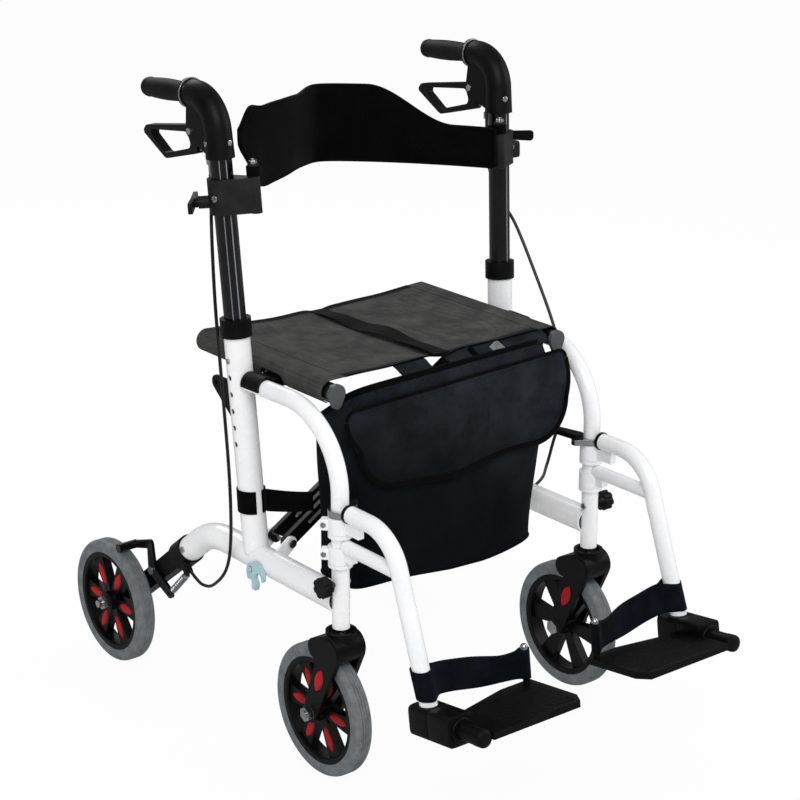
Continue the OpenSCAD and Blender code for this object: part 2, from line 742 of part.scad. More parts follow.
// Clamp on the handle tube with a barrel for the backrest and a lug for the wing screw
module backrest_clamp(lug_h) {
    color("#2c2d2f") on_upright() difference() {
        union() {
            translate([0, 0, clamp_h + 1]) linear_extrude(clamp_len)
                link([0, 0], handle_r + 6, barrel_at, barrel_r - 1);
            translate([barrel_at[0], barrel_at[1], 0]) bar_z(barrel_r, clamp_h, clamp_h + barrel_len);
            on_wing(lug_h) bar_x(9, handle_r - 2, wing_reach);
        }
        bar_z(handle_r + seat, clamp_h - 1, clamp_h + clamp_len + 2);
        on_wing(lug_h) bar_x(4 + running, 0, wing_reach + 5);
    }
}

// Stand on the wing screw's axis, x along it
module on_wing(lug_h) { translate([0, 0, lug_h]) rotate([0, 0, wing_angle]) children(); }

// Screw with a long flat wing
module wing_screw(lug_h) {
    color("#131315") on_upright() on_wing(lug_h) {
        bar_x(4, handle_r + 2, wing_reach + 8);
        bar_x(7, wing_reach + gap, wing_reach + 6);
        extrude_x(wing_reach + 5, wing_reach + 11) polygon(rounded([[-wing_len / 2, -8], [0, -6.5],
            [wing_len / 2, -8], [wing_len / 2, 8], [0, 6.5], [-wing_len / 2, 8]], [5, 30, 5, 5, 30, 5], 4));
    }
}

// Loop of a flat band: an outer outline less an inner one
module brake_lever() {
    p = lever_pivot;
    n = lever_reach;
    t = lever_t;
    outer = [p + [-9, 9], p + [n - 6, -3], p + [n + 4, -13], p + [n * 0.6, -48], p + [-8, -32]];
    inner = [p + [15, 3 - t], p + [n - 9, -3 - t], p + [n * 0.6, -46 + t], p + [6, -31 + t]];
    color("#121214") on_upright() difference() {
        extrude_x(-lever_w / 2, lever_w / 2) difference() {
            polygon(rounded(outer, [9, 8, 5, 14, 9], 5));
            polygon(rounded(inner, [8, 5, 12, 8], 5));
        }
        translate([0, p[0], p[1]]) bar_x(3 + running, -lever_w, lever_w);
    }
}

// Spring button with its leaf inside the handle tube
module height_button() {
    color("silver") on_upright() {
        translate([0, 0, hole_top]) bar_x(button_d / 2, 4, upright_r + 1);
        translate([2.5, -5, hole_top - 30]) cube([1.5, 10, 36]);
    }
}

// Star knob whose stud goes into the front post
module frame_knob() {
    color("#121214") on_post() translate([0, 0, knob_z]) {
        bar_x(4, 3, post_r + 8);
        translate([post_r + 3, 0, 0]) rotate([0, 90, 0]) cylinder(r1 = 7, r2 = 12, h = 7);
        extrude_x(post_r + 10, post_r + 24) difference() {
            circle(15);
            for (i = [0 : 6]) rotate(i * 360 / 7) translate([17, 0]) circle(4);
        }
    }
}

// Cross braces, each two bars and a seat rail. Brace A runs from the left foot to the right rail.

module brace(bar_off, c_hole) {
    foot = [pivot_x, pivot_z];
    head = [-rail_x, rail_z];
    middle = [0, cross_z_at];
    slot = [[0.09, 0.38], [0.57, 0.88]];
    color("#0f0f11") {
        for (s = [-1, 1])
            extrude_y(brace_y + s * bar_off - bar_t / 2, brace_y + s * bar_off + bar_t / 2) difference() {
                link(foot, bar_w / 2, head, bar_w / 2);
                for (t = slot) link(foot + (head - foot) * t[0], 3, foot + (head - foot) * t[1], 3);
                translate(head) circle(rail_r - 1);
                translate(foot) circle(pivot_d / 2 + running);
                translate(middle) circle(c_hole);
            }
        translate([-rail_x, 0, rail_z]) pipe_y(rail_d, rail_wall, rail_front, rail_rear);
    }
    color("#3c3d40") translate([-rail_x, 0, rail_z]) {
        extrude_y(rail_front - 6, rail_front - seat) link([0, 0], 14, [0, -14], 8);
        bar_y(rail_r - rail_wall - seat, rail_front - seat, rail_front + 20);
    }
    color("#101012") translate([-rail_x, rail_rear + seat, rail_z]) {
        rotate([-90, 0, 0]) rotate_extrude() polygon(concat([[0, -20], [rail_r - rail_wall - seat, -20],
            [rail_r - rail_wall - seat, 0]], [for (a = [0 : 15 : 75]) rail_r * [cos(a), sin(a)]], [[0, rail_r * sin(75)]]));
    }
}

module brace_a() { brace(outer_bars, cross_d / 2 + seat); }
module brace_b() { flip() brace(inner_bars, cross_d / 2 + running); }

module cross_bolt() {
    half = outer_bars + bar_t / 2;
    color("silver") translate([0, brace_y, cross_z_at]) {
        bar_y(cross_d / 2, -half, half);
        for (s = [-1, 1])
            translate([0, s * (half + 3 + seat), 0]) bar_y(cross_d * 0.85, -3, 3, $fn = 6);
    }
}

// Soft pieces

// Seat sling over the rails: a sheet that sags between them, with a fold line in the middle
module seat_sling() {
    nx = 20;
    front = rail_front + 11;
    back = rail_rear + 14;
    ny = 12;
    top_z = rail_z + rail_r + gap + sling_t;
    function top_at(x, v) = let (u = x / rail_x, e = 1 - pow(2 * v - 1, 6))
        top_z - sling_sag * e * (1 - u * u) - 4 * exp(-x * x / 300);
    function ring(v) = let (y = front + v * (back - front)) concat(
        [for (i = [0 : nx]) let (x = rail_x * (2 * i / nx - 1)) [x, y, top_at(x, v)]],
        [for (i = [nx : -1 : 0]) let (x = rail_x * (2 * i / nx - 1)) [x, y, top_at(x, v) - sling_t]]);
    m = 2 * nx + 2;
    strip = [for (i = [0 : nx - 1]) [[i, i + 1, m - 2 - i], [i, m - 2 - i, m - 1 - i]]];
    last = ny * m;
    color("#3a3b3d") polyhedron([for (j = [0 : ny], p = ring(j / ny)) p], concat(
        [for (f = ring_sides(ny + 1, m)) [f[0], f[2], f[1]]],
        [for (q = strip, f = q) [f[0], f[2], f[1]]],
        [for (q = strip, f = q) [last + f[0], last + f[1], last + f[2]]]));
}
function ring_sides(n, m) = [for (k = [0 : 2 * (n - 1) * m - 1]) ring_faces(n, m)[k]];

// Backrest pad: bowed in plan, tall in the middle, thin at its edges
module backrest_pad() {
    end_z = lower_z + (clamp_h + 4) * cos(upright_lean);
    half = upright_x_at(end_z) + barrel_at[0] - barrel_r - 0.8;
    end_y = upright_y_at(end_z) + barrel_at[1] - 2;
    apex = 18;
    bow = pad_depth / (sqrt(half * half + apex * apex) - apex);
    n = 32;
    m = 14;
    function ease(t) = let (c = min(max(t, 0), 1)) c * c * (3 - 2 * c);
    function plan(x) = end_y + pad_depth - bow * (sqrt(x * x + apex * apex) - apex);
    function slope(x) = -bow * x / sqrt(x * x + apex * apex);
    function tall(x) = x > 0 ? pad_mid_h - (pad_mid_h - pad_end_h) * ease((x - 65) / 100)
        : pad_mid_h - (pad_mid_h - pad_right_h) * ease(-x / 70) - (pad_right_h - pad_end_h) * ease((50 - half - x) / 50);
    function low(x) = end_z + 11 * (1 - x * x / (half * half))
        + pad_lift * ease((-x - 50) / 90) * (1 - ease((50 - half - x) / 50));
    function thick(x) = pad_t * (0.55 + 0.45 * ease((half - abs(x)) / 60));
    function spow(v, p) = sign(v) * pow(abs(v), p);
    function ring(x) = let (h = tall(x) / 2, t = thick(x) / 2, nrm = unit([slope(x), -1]))
        [for (k = [0 : m - 1]) let (a = 360 * k / m, d = t * spow(cos(a), 0.7))
            [x + nrm[0] * d * ease((half - abs(x)) / 30), plan(x) + nrm[1] * d, low(x) + h + h * spow(sin(a), 0.55)]];
    color("#17171a") polyhedron([for (i = [0 : n], p = ring(half * (2 * i / n - 1))) p], ring_faces(n + 1, m));
}

// Bag under the seat: tapered towards its bottom, hung by a hem between the rails
module bag() {
    front = rail_front + bag_set_back;
    top = rail_z - rail_r - 1.5;
    inset = 18;
    skew = -12;
    color("#15172a") {
        translate([0, front, 0]) extrude_y(0, bag_depth) polygon([
            [-bag_w / 2 + inset + 14 + skew, bag_bottom], [bag_w / 2 - inset - 14 + skew, bag_bottom],
            [bag_w / 2 - inset + skew, bag_bottom + 14], [bag_w / 2, top - 60], [bag_w / 2, top],
            [-bag_w / 2, top], [-bag_w / 2, top - 60], [-bag_w / 2 + inset + skew, bag_bottom + 14]]);
        translate([-rail_x + rail_r + gap, rail_front + 10, top])
            cube([2 * (rail_x - rail_r - gap), 30, rail_r + 2]);
    }
}

// Flap over the front of the bag with round lower corners and a rolled top edge, its hinge line
module bag_flap() {
    front = rail_front + bag_set_back - gap;
    top = rail_z - rail_r - 2;
    r = 65;
    w = bag_w / 2 + 16;
    color("#171a30") {
        extrude_y(front - flap_t, front) {
            translate([-w, top - flap_h + r]) square([2 * w, flap_h - r]);
            translate([-w + r, top - flap_h]) square([2 * (w - r), r + 1]);
            for (s = [-1, 1]) translate([s * (w - r), top - flap_h + r]) circle(r);
        }
        translate([0, front - flap_t / 2, top]) bar_x(flap_t / 2, -w, w);
    }
}

// Brake cables, from the lever housing to the cable stop on the rear socket
cable_r = 2.5;
cable_end = [frame_x + stop_x, bend_y + 41, lower_z - 74];
cable_start = [254.5, 97, 846];
right_route = [cable_start, [256, 98, 800], [267, 88, 740], [271, 78, 650], [268, 68, 522], [264, 58, 401],
    [264, 59, 307], [264, 74, 254], [262, 113, 216], [256, 150, 202], [253, 174, 204], cable_end];
left_route = [cable_start, [256, 98, 800], [266, 84, 745], [271, 46, 702], [273, 0, 632], [270, -46, 564],
    [256, -92, 500], [240, -108, 450], [237, -90, 393], [242, -70, 345], [263, -30, 300], [267, 40, 245],
    [262, 116, 208], [255, 164, 202], cable_end];

module cable(route) {
    p = smooth_path(route, 3);
    n = len(p);
    m = 8;
    function tangent(i) = unit(p[min(i + 1, n - 1)] - p[max(i - 1, 0)]);
    function ring(i) = let (t = tangent(i), s = unit([1, 0, 0] - t[0] * t), u = cross(t, s))
        [for (k = [0 : m - 1]) p[i] + cable_r * (cos(k * 360 / m) * s + sin(k * 360 / m) * u)];
    color("#0c0c0e") polyhedron([for (i = [0 : n - 1], q = ring(i)) q],
        [for (f = ring_faces(n, m)) [f[0], f[2], f[1]]]);
}

// Footrests

module hanger_tube() {
    color("white") difference() {
        on_post() {
            for (z = knuckle_z) bar_z(knuckle_r, z, z + knuckle_h);
            translate([0, 0, hanger_z]) rotate([0, 0, 180])
                pipe_y(hanger_d, hanger_wall, knuckle_r + 1.5, hanger_corner - hanger_tangent);
            translate([0, -hanger_corner + hanger_tangent, hanger_z - hanger_r])
                bend_yz(hanger_r, 90, 90 + hanger_turn, hanger_d, hanger_wall);
            on_leg() pipe_z(hanger_d, hanger_wall, hanger_tangent, leg_len);
            translate([-5, -knuckle_r - 30, knuckle_z[0] + 4]) cube([10, 36, hanger_z - 10 - knuckle_z[0] - 4]);
            translate([0, 0, cross_z]) rotate([0, 0, 180]) difference() {
                bar_y(10, knuckle_r - 4, hanger_corner + (hanger_z - cross_z) * tan(hanger_slope));
                bar_y(8, knuckle_r + 6, hanger_corner);
            }
            translate([-6, -knuckle_r - 14, knuckle_z[1] + 6]) cube([12, 20, cross_z - knuckle_z[1] - 8]);
        }
        on_post() bar_z(post_r + running, cross_z - 60, hanger_z + 60);
        on_post() on_leg() bar_z(hanger_d / 2 - hanger_wall, hanger_tangent, leg_len + 1);
    }
}

// Stand on the hanger's corner, z down along its sloping leg
leg_len = (hanger_z - flip_z - 8) / cos(hanger_slope);
module on_leg() {
    translate([0, -hanger_corner, hanger_z]) rotate([180 - hanger_slope, 0, 0]) children();
}

// Round block on the end of the hanger's leg, with the footplate's flip pin
module foot_pin() {
    color("#121214") difference() {
        on_foot() {
            bar_y(block_r - 1, 0, block_len);
            bar_y(block_r, 4, block_len - 4);
            bar_y(flip_r, -flip_len, 1);
        }
        on_post() on_leg() bar_z(hanger_d / 2 + seat, 0, leg_len + seat);
    }
}

// Ribbed plate with a sleeve on the flip pin and a heel post
module footplate() {
    outer = -flip_r - 2;
    inner = -plate_w;
    toe = -flip_len - 2;
    outline = [[inner + 12, toe], [outer, toe], [outer, -sleeve_len], [outer, -gap], [-45, -gap],
        [-plate_w * 0.7, plate_back], [inner, plate_back], [inner, toe + 20]];
    pitch = (plate_back - toe - 40) / rib_count;
    color("#161618") on_foot() difference() {
        union() {
            translate([0, 0, plate_top - plate_t]) linear_extrude(plate_t) polygon(outline);
            bar_y(block_r, -sleeve_len, -gap);
            translate([heel_at[0], heel_at[1], 0]) bar_z(5, plate_top - 1, plate_top + heel_h);
        }
        bar_y(flip_r + running, -sleeve_len - 1, 1);
        for (i = [0 : rib_count - 1])
            translate([inner + 14, toe + 8 + i * pitch, plate_top - 1])
                cube([plate_w - 60, pitch * 0.45, 2]);
    }
}

// Webbing band from the hanger's leg to the heel post
module heel_strap() {
    n = 12;
    z_leg = 222;
    leg_y = -hanger_corner - (hanger_z - z_leg) * tan(hanger_slope) + hanger_d / 2 / cos(hanger_slope) + 1.8;
    heel_y = -foot_front + heel_at[1] + 8.5;
    heel_z = flip_z + plate_top - heel_at[1] * sin(foot_tilt);
    function ease(t) = t * t * (3 - 2 * t);
    function ring(t) = let (x = (foot_x - frame_x + heel_at[0]) * t, h = 54 - 10 * t,
        z = (z_leg - 26) * (1 - ease(t)) + (heel_z + 6) * ease(t), y = leg_y + (heel_y - leg_y) * ease(t) + 16 * t * (1 - t),
        lean = h * (tan(hanger_slope) * (1 - t) + tan(foot_tilt) * t))
        [[x, y - 1.2, z], [x, y + 1.2, z], [x, y + 1.2 + lean, z + h], [x, y - 1.2 + lean, z + h]];
    color("#11131f") on_post() polyhedron([for (i = [0 : n], p = ring(i / n)) p], ring_faces(n + 1, 4));
}

// Hook on the lower tube's outer face
module stow_hook() {
    x0 = frame_x + lower_r + 0.2;
    mid = [0, lower_z - 14];
    color("#b4d0d8") {
        extrude_x(x0, x0 + 7) difference() {
            union() {
                translate(mid) circle(20);
                translate(mid + [-2, -24]) square([9, 24]);
            }
            translate(mid + [-9, -4]) circle(9);
            translate(mid + [-30, -30]) square([26, 24]);
            translate(mid + [7, -30]) square([30, 20]);
        }
        translate([0, mid[0] + 9, mid[1] + 7]) bar_x(4, x0 + 6, x0 + 9);
    }
}

lower_tube(outer_bars);  // left_lower_tube
flip() lower_tube(inner_bars);  // right_lower_tube
upright(outer_bars);  // left_upright
flip() upright(inner_bars);  // right_upright
front_tube();  // left_front_tube
flip() front_tube();  // right_front_tube
frame_fittings(outer_bars);  // left_frame_fittings
flip() frame_fittings(inner_bars);  // right_frame_fittings
rear_socket();  // left_rear_socket
flip() rear_socket();  // right_rear_socket
rear_axle();  // left_rear_axle
flip() rear_axle();  // right_rear_axle
cable(left_route);  // left_brake_cable
flip() cable(right_route);  // right_brake_cable
at_rear_wheel() rim();  // left_rear_rim
flip() at_rear_wheel() rim();  // right_rear_rim
at_rear_wheel() tyre();  // left_rear_tyre
flip() at_rear_wheel() tyre();  // right_rear_tyre
at_caster() rim();  // left_caster_rim
flip() at_caster() rim();  // right_caster_rim
at_caster() tyre();  // left_caster_tyre
flip() at_caster() tyre();  // right_caster_tyre
fork();  // left_fork
flip() fork();  // right_fork
hanger_tube();  // left_hanger_tube
flip() hanger_tube();  // right_hanger_tube
foot_pin();  // left_foot_pin
flip() foot_pin();  // right_foot_pin
footplate();  // left_footplate
flip() footplate();  // right_footplate
heel_strap();  // left_heel_strap
flip() heel_strap();  // right_heel_strap
latch_lever();  // left_latch_lever
flip() latch_lever();  // right_latch_lever
handle_tube();  // left_handle_tube
flip() handle_tube();  // right_handle_tube
handle_housing();  // left_handle_housing
flip() handle_housing();  // right_handle_housing
grip();  // left_grip
flip() grip();  // right_grip
backrest_clamp(lug_high);  // left_backrest_clamp
flip() backrest_clamp(lug_low);  // right_backrest_clamp
brake_lever();  // left_brake_lever
flip() brake_lever();  // right_brake_lever
wing_screw(lug_high);  // left_wing_screw
flip() wing_screw(lug_low);  // right_wing_screw
height_button();  // left_height_button
flip() height_button();  // right_height_button
frame_knob();  // left_frame_knob
flip() frame_knob();  // right_frame_knob
brake_arm();  // left_brake_arm
flip() brake_arm();  // right_brake_arm
brace_a();
brace_b();
cross_bolt();
seat_sling();
backrest_pad();
bag();
bag_flap();
flip() stow_hook();  // right_stow_hook
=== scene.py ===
"""Looks of the folding rollator chair: finishes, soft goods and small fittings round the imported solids.

Shapes are worked out in millimetres and turned into metres when a mesh is made.
Left is the user's left, +X. A piece is drawn on the left and mirrored to the right.
"""

import bmesh
import bpy
import numpy as np
from mathutils import Matrix, Vector


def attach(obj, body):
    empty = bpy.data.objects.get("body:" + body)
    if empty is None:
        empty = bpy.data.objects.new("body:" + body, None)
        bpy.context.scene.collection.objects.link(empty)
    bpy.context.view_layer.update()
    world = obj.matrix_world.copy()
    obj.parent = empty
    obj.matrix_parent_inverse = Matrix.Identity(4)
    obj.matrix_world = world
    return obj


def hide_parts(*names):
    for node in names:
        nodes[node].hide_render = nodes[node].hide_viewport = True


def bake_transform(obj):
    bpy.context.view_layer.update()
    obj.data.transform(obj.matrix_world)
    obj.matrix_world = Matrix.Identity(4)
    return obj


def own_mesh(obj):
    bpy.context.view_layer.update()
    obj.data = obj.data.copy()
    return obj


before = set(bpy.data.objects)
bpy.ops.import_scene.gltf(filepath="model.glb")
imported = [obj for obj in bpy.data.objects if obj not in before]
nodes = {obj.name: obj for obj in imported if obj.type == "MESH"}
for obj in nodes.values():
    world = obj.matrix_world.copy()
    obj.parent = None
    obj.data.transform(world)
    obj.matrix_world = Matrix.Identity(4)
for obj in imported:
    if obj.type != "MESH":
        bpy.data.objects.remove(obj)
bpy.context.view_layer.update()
SIDES = (("left", 1), ("right", -1))
TAU = 2 * np.pi
MM = 0.001


def placed(name, data):
    """A new object in the scene."""
    thing = bpy.data.objects.new(name, data)
    bpy.context.scene.collection.objects.link(thing)
    return thing


def aimed(name, data, place, target):
    """A camera or lamp at a place, pointed at a target."""
    thing = placed(name, data)
    thing.location = place
    thing.rotation_euler = (Vector(target) - Vector(place)).to_track_quat("-Z", "Y").to_euler()
    return thing


# Camera at the photograph's place

lens = bpy.data.cameras.new("photo_camera")
lens.sensor_width = 36
lens.lens = 98.6
EYE, AIM = (-1.918, -2.4295, 1.5441), (-0.002, -0.0105, 0.4873)
bpy.context.scene.camera = aimed("photo_camera", lens, EYE, AIM)


# Finishes

class Wire:
    """A socket in a material. Arithmetic on it adds Math nodes."""

    def __init__(self, tree, socket=None):
        self.tree = tree
        self.socket = socket

    def add(self, kind, settings=None, sockets=None, out=0):
        """A node of a kind: its settings first, then a value or a wire for each socket."""
        node = self.tree.nodes.new("ShaderNode" + kind)
        for key, value in (settings or {}).items():
            setattr(node, key, value)
        for key, value in (sockets or {}).items():
            if isinstance(value, Wire):
                self.tree.links.new(value.socket, node.inputs[key])
            else:
                node.inputs[key].default_value = value
        return Wire(self.tree, node.outputs[out])

    def math(self, operation, other=0.0, swap=False):
        """One Math node on this wire and another wire or number."""
        first, second = (other, self) if swap else (self, other)
        return self.add("Math", {"operation": operation}, {0: first, 1: second})

    def __add__(self, other):
        return self.math("ADD", other)

    def __sub__(self, other):
        return self.math("SUBTRACT", other)

    def __rsub__(self, other):
        return self.math("SUBTRACT", other, True)

    def __mul__(self, other):
        return self.math("MULTIPLY", other)

    __radd__ = __add__
    __rmul__ = __mul__

    def clamp(self, low, high):
        """0 below low, 1 above high and a smooth rise between them."""
        ramp = {"interpolation_type": "SMOOTHSTEP"}
        return self.add("MapRange", ramp, {"Value": self, "From Min": low, "From Max": high})

    def axis(self, name):
        """X, Y or Z of a vector."""
        return self.add("SeparateXYZ", None, {0: self}, name)

    def scaled(self, x, y, z):
        """The vector stretched along the axes."""
        return self.add("VectorMath", {"operation": "MULTIPLY"}, {0: self, 1: (x, y, z)})

    def noise(self, scale, detail=3.0, rough=0.55):
        """Cloudy noise of about 1/scale metres, from 0 to 1."""
        return self.add("TexNoise", None, {"Vector": self, "Scale": scale, "Detail": detail,
                                           "Roughness": rough})

    def wave(self, pitch):
        """Sine along a length, one turn for each pitch in metres, from -1 to 1."""
        return (self * (TAU / pitch)).math("SINE")

    def between(self, first, second):
        """Colour that goes from the first to the second with this wire. Each is a wire or a colour code."""
        first, second = (tone(c) if isinstance(c, str) else c for c in (first, second))
        return self.add("Mix", {"data_type": "RGBA"}, {0: self, 6: first, 7: second}, 2)

    def ray(self, kind):
        """1 for rays of a kind, 0 for the others."""
        return self.add("LightPath", out=f"Is {kind} Ray")

    def bump(self, depth, under=None):
        """Normal of a surface whose height is this wire times a depth in metres."""
        sockets = {"Height": self, "Distance": depth, "Strength": 1.0}
        if under:
            sockets["Normal"] = under
        return self.add("Bump", None, sockets)


def tone(code):
    """Linear colour of a screen colour written as six hexadecimal digits."""
    c = np.array(list(bytes.fromhex(code))) / 255
    linear = np.where(c <= 0.04045, c / 12.92, ((c + 0.055) / 1.055) ** 2.4)
    return (*linear.tolist(), 1.0)


def finish(name, shade, values, fixed):
    """Material of one shader: shade gives the sockets that vary from its values, fixed those that don't."""
    material = bpy.data.materials.new(name)
    material.use_nodes = True
    tree = material.node_tree
    shader = tree.nodes["Principled BSDF"]
    for key, value in fixed.items():
        shader.inputs[key].default_value = value
    start = Wire(tree)
    place = start.add("TexCoord", out="Object")
    for key, wire in shade(start, place, *values).items():
        tree.links.new(wire.socket, shader.inputs[key])
    return material


def soft_edge(start, radius):
    """Normal that rounds the sharp edges of a moulding to a radius in metres."""
    return start.add("Bevel", {"samples": 4}, {"Radius": radius})


def painted(start, place, dark, light, rough):
    """Gloss paint: faint clouds and scuffs, and the fine ripple of a sprayed coat."""
    clouds = place.noise(9, 2)
    scuffs = place.scaled(1, 1, 0.35).noise(160, 4, 0.7).clamp(0.66, 0.8)
    ripple = place.noise(420, 2)
    mixed = clouds.clamp(0.3, 0.75) * 0.5 + scuffs * 0.25
    return {"Base Color": (1 - mixed).between(dark, light),
            "Roughness": place.noise(45, 3) * 0.1 + scuffs * 0.12 + rough,
            "Normal": ripple.bump(0.00005, soft_edge(start, 0.0008))}


def moulded(start, place, dark, light, rough, grain, edge):
    """Moulded plastic: spark-eroded grain, cloudy sheen and soft edges."""
    clouds = place.noise(30, 4)
    fine = place.noise(1500, 2, 0.7)
    return {"Base Color": (clouds * 0.7 + fine * 0.3).clamp(0.3, 0.72).between(dark, light),
            "Roughness": clouds * 0.16 + fine * 0.08 + rough,
            "Normal": fine.bump(grain, soft_edge(start, edge))}


def brushed(start, place, dark, light, rough, stretch):
    """Metal with fine lines along one axis and a cloudy lustre."""
    lines = place.scaled(*stretch).noise(900, 3, 0.6)
    clouds = place.noise(60, 3)
    return {"Base Color": (lines * 0.5 + clouds * 0.5).clamp(0.25, 0.75).between(dark, light),
            "Roughness": lines * 0.14 + clouds * 0.12 + rough,
            "Normal": lines.bump(0.00003, soft_edge(start, 0.0006))}


def off_upright(place):
    """Metres outwards and backwards from a line through the floor's middle that leans as the uprights do."""
    out = place.axis("X").math("ABSOLUTE") - place.axis("Z") * 0.0314
    return out, place.axis("Y") - place.axis("Z") * 0.0682


def tube_with_painted_glints(start, place, dark, light, rough, stretch):
    """Black tube with two painted highlights: fine bright lines down its front, where grooves would catch
    the light, at fixed angles round the leaning axis.
    """
    wires = brushed(start, place, dark, light, rough, stretch)
    out, back = off_upright(place)
    angle = (back - 0.01206).math("ARCTAN2", out - 0.22805)
    off_first = (angle + 0.83).math("ABSOLUTE").clamp(0.02, 0.06)
    off_second = (angle + 1.46).math("ABSOLUTE").clamp(0.03, 0.08)
    lines = 2 - off_first - off_second
    # painted highlights: light grey drawn into the colour along the two lines
    wires["Base Color"] = lines.between(wires["Base Color"], "808288")
    return wires


def fitted(start, place, dark, light, rough, grain, edge, bright):
    """Moulded plastic with bright steel where the bright rule gives 1."""
    wires = moulded(start, place, dark, light, rough, grain, edge)
    mask = bright(place)
    metal = place.noise(30, 4).clamp(0.25, 0.75).between("a8aaae", "d8d9dc")
    wires["Base Color"] = mask.between(wires["Base Color"], metal)
    wires["Roughness"] = wires["Roughness"] - mask * (rough - 0.12)
    wires["Metallic"] = mask
    return wires


def inside(place, x=None, y=None, z=None):
    """1 in a box given in millimetres, 0 outside it. x is measured from the chair's middle plane."""
    mask = None
    for name, limits in (("X", x), ("Y", y), ("Z", z)):
        if limits:
            wire = place.axis(name).math("ABSOLUTE") if name == "X" else place.axis(name)
            low, high = limits[0] / 1000, limits[1] / 1000
            step = wire.math("GREATER_THAN", low) * wire.math("LESS_THAN", high)
            mask = step if mask is None else mask * step
    return mask


def steel(*boxes):
    """Rule for a fitted moulding: 1 in any of the boxes."""
    return lambda place: sum(inside(place, *box) for box in boxes)


AXLE = ((-142, -118), (88, 112))
PIVOT = ((290, 309), (165, 185))
# The brace's pivot pin and the latch's bracket, the axle's ends and the stem, the heads of the brake's pin
steel_fittings = steel(((190, 220), (-60, 80), (300, 324)), (None, (-220, -130), (413, 424)))
steel_fork = steel(((262.55, 290), *AXLE), ((180, 211.45), *AXLE),
                   ((230.5, 243.5), (-180.5, -167.5), (235.2, 300)))
steel_socket = steel(((254.7, 262), *PIVOT), ((200, 224.8), *PIVOT))


def steel_housing(place):
    """Cable adjuster under the housing and the heads of the lever's pin, found along the leaning tube."""
    out, back = off_upright(place)
    adjuster = back.math("GREATER_THAN", 0.0332) * place.axis("Z").math("LESS_THAN", 0.8822)
    middle = (out - 0.228051).math("ABSOLUTE")
    return adjuster + middle.math("GREATER_THAN", 0.01235) * inside(place, None, (122, 136), (898, 913))


def bar_with_cap(start, place, dark, light, rough, cap):
    """Black painted bar whose front end cap is grey plastic."""
    clouds = place.noise(40, 3)
    lines = place.scaled(1, 0.05, 1).noise(700, 2)
    end = inside(place, None, (-140, -122.01), (540, 600))
    paint = (clouds * 0.6 + lines * 0.4).clamp(0.25, 0.75).between(dark, light)
    return {"Base Color": end.between(paint, cap),
            "Roughness": clouds * 0.12 + lines * 0.08 + rough + end * 0.2,
            "Normal": lines.bump(0.00004, soft_edge(start, 0.0007))}


def woven(start, place, dark, light, rough, pitch, depth):
    """Plain weave: threads that rise and fall along all three axes, with uneven dye."""
    u = place.axis("X").wave(pitch)
    v = place.axis("Y").wave(pitch)
    w = place.axis("Z").wave(pitch)
    threads = u * v + v * w + w * u
    dye = place.noise(24, 4, 0.6)
    fibre = place.noise(1100, 2, 0.7)
    dyed = dye * 0.4 + fibre * 0.45 + threads * 0.08
    return {"Base Color": dyed.clamp(0.22, 0.66).between(dark, light),
            "Roughness": fibre * 0.2 + rough,
            "Normal": (threads * 0.6 + fibre * 0.8).bump(depth)}


def bag_weave(start, place, dark, light, rough, pitch, depth):
    """The weave of the bag with painted shade: its colour darkens towards the bottom and to the right, and
    stays light high up on the flap.
    """
    wires = woven(start, place, dark, light, rough, pitch, depth)
    # painted shade and light: dark low down, lighter higher up and to the left
    painted_light_by_height = (place.axis("Z") + place.axis("X") * 0.3 + place.noise(6, 2) * 0.12).clamp(0.4, 0.64)
    wires["Base Color"] = (painted_light_by_height * 0.85 + 0.08).between(dark, wires["Base Color"])
    return wires


def webbing(start, place, dark, light, rough):
    """Narrow woven tape: ribs across the band and a chevron of threads along it, on its own map."""
    tape = start.add("UVMap", {"uv_map": "tape"})
    ribs = tape.axis("Y").wave(0.0026)
    picks = (tape.axis("X") + ribs * 0.0003).wave(0.0014)
    dye = place.noise(40, 3)
    height = ribs * 0.6 + picks * 0.4
    return {"Base Color": (height * 0.2 + dye).clamp(0.2, 0.85).between(dark, light),
            "Roughness": dye * 0.15 + rough,
            "Normal": height.bump(0.00018)}


def rubber(start, place, dark, light, rough, pitch):
    """Tyre rubber: fine moulding lines round the tread and a bloom of dust."""
    facing = start.add("NewGeometry", out="Normal").axis("X").math("ABSOLUTE")
    tread = 1 - facing.clamp(0.35, 0.7)
    lines = place.axis("X").wave(pitch) * tread
    dust = place.noise(70, 4, 0.65)
    fine = place.noise(900, 2)
    bloom = (dust * 0.8 + lines * 0.08 + fine * 0.2).clamp(0.25, 0.8)
    return {"Base Color": bloom.between(dark, light),
            "Roughness": dust * 0.2 + rough,
            "Normal": (lines * 0.7 + fine * 0.35).bump(0.00022)}


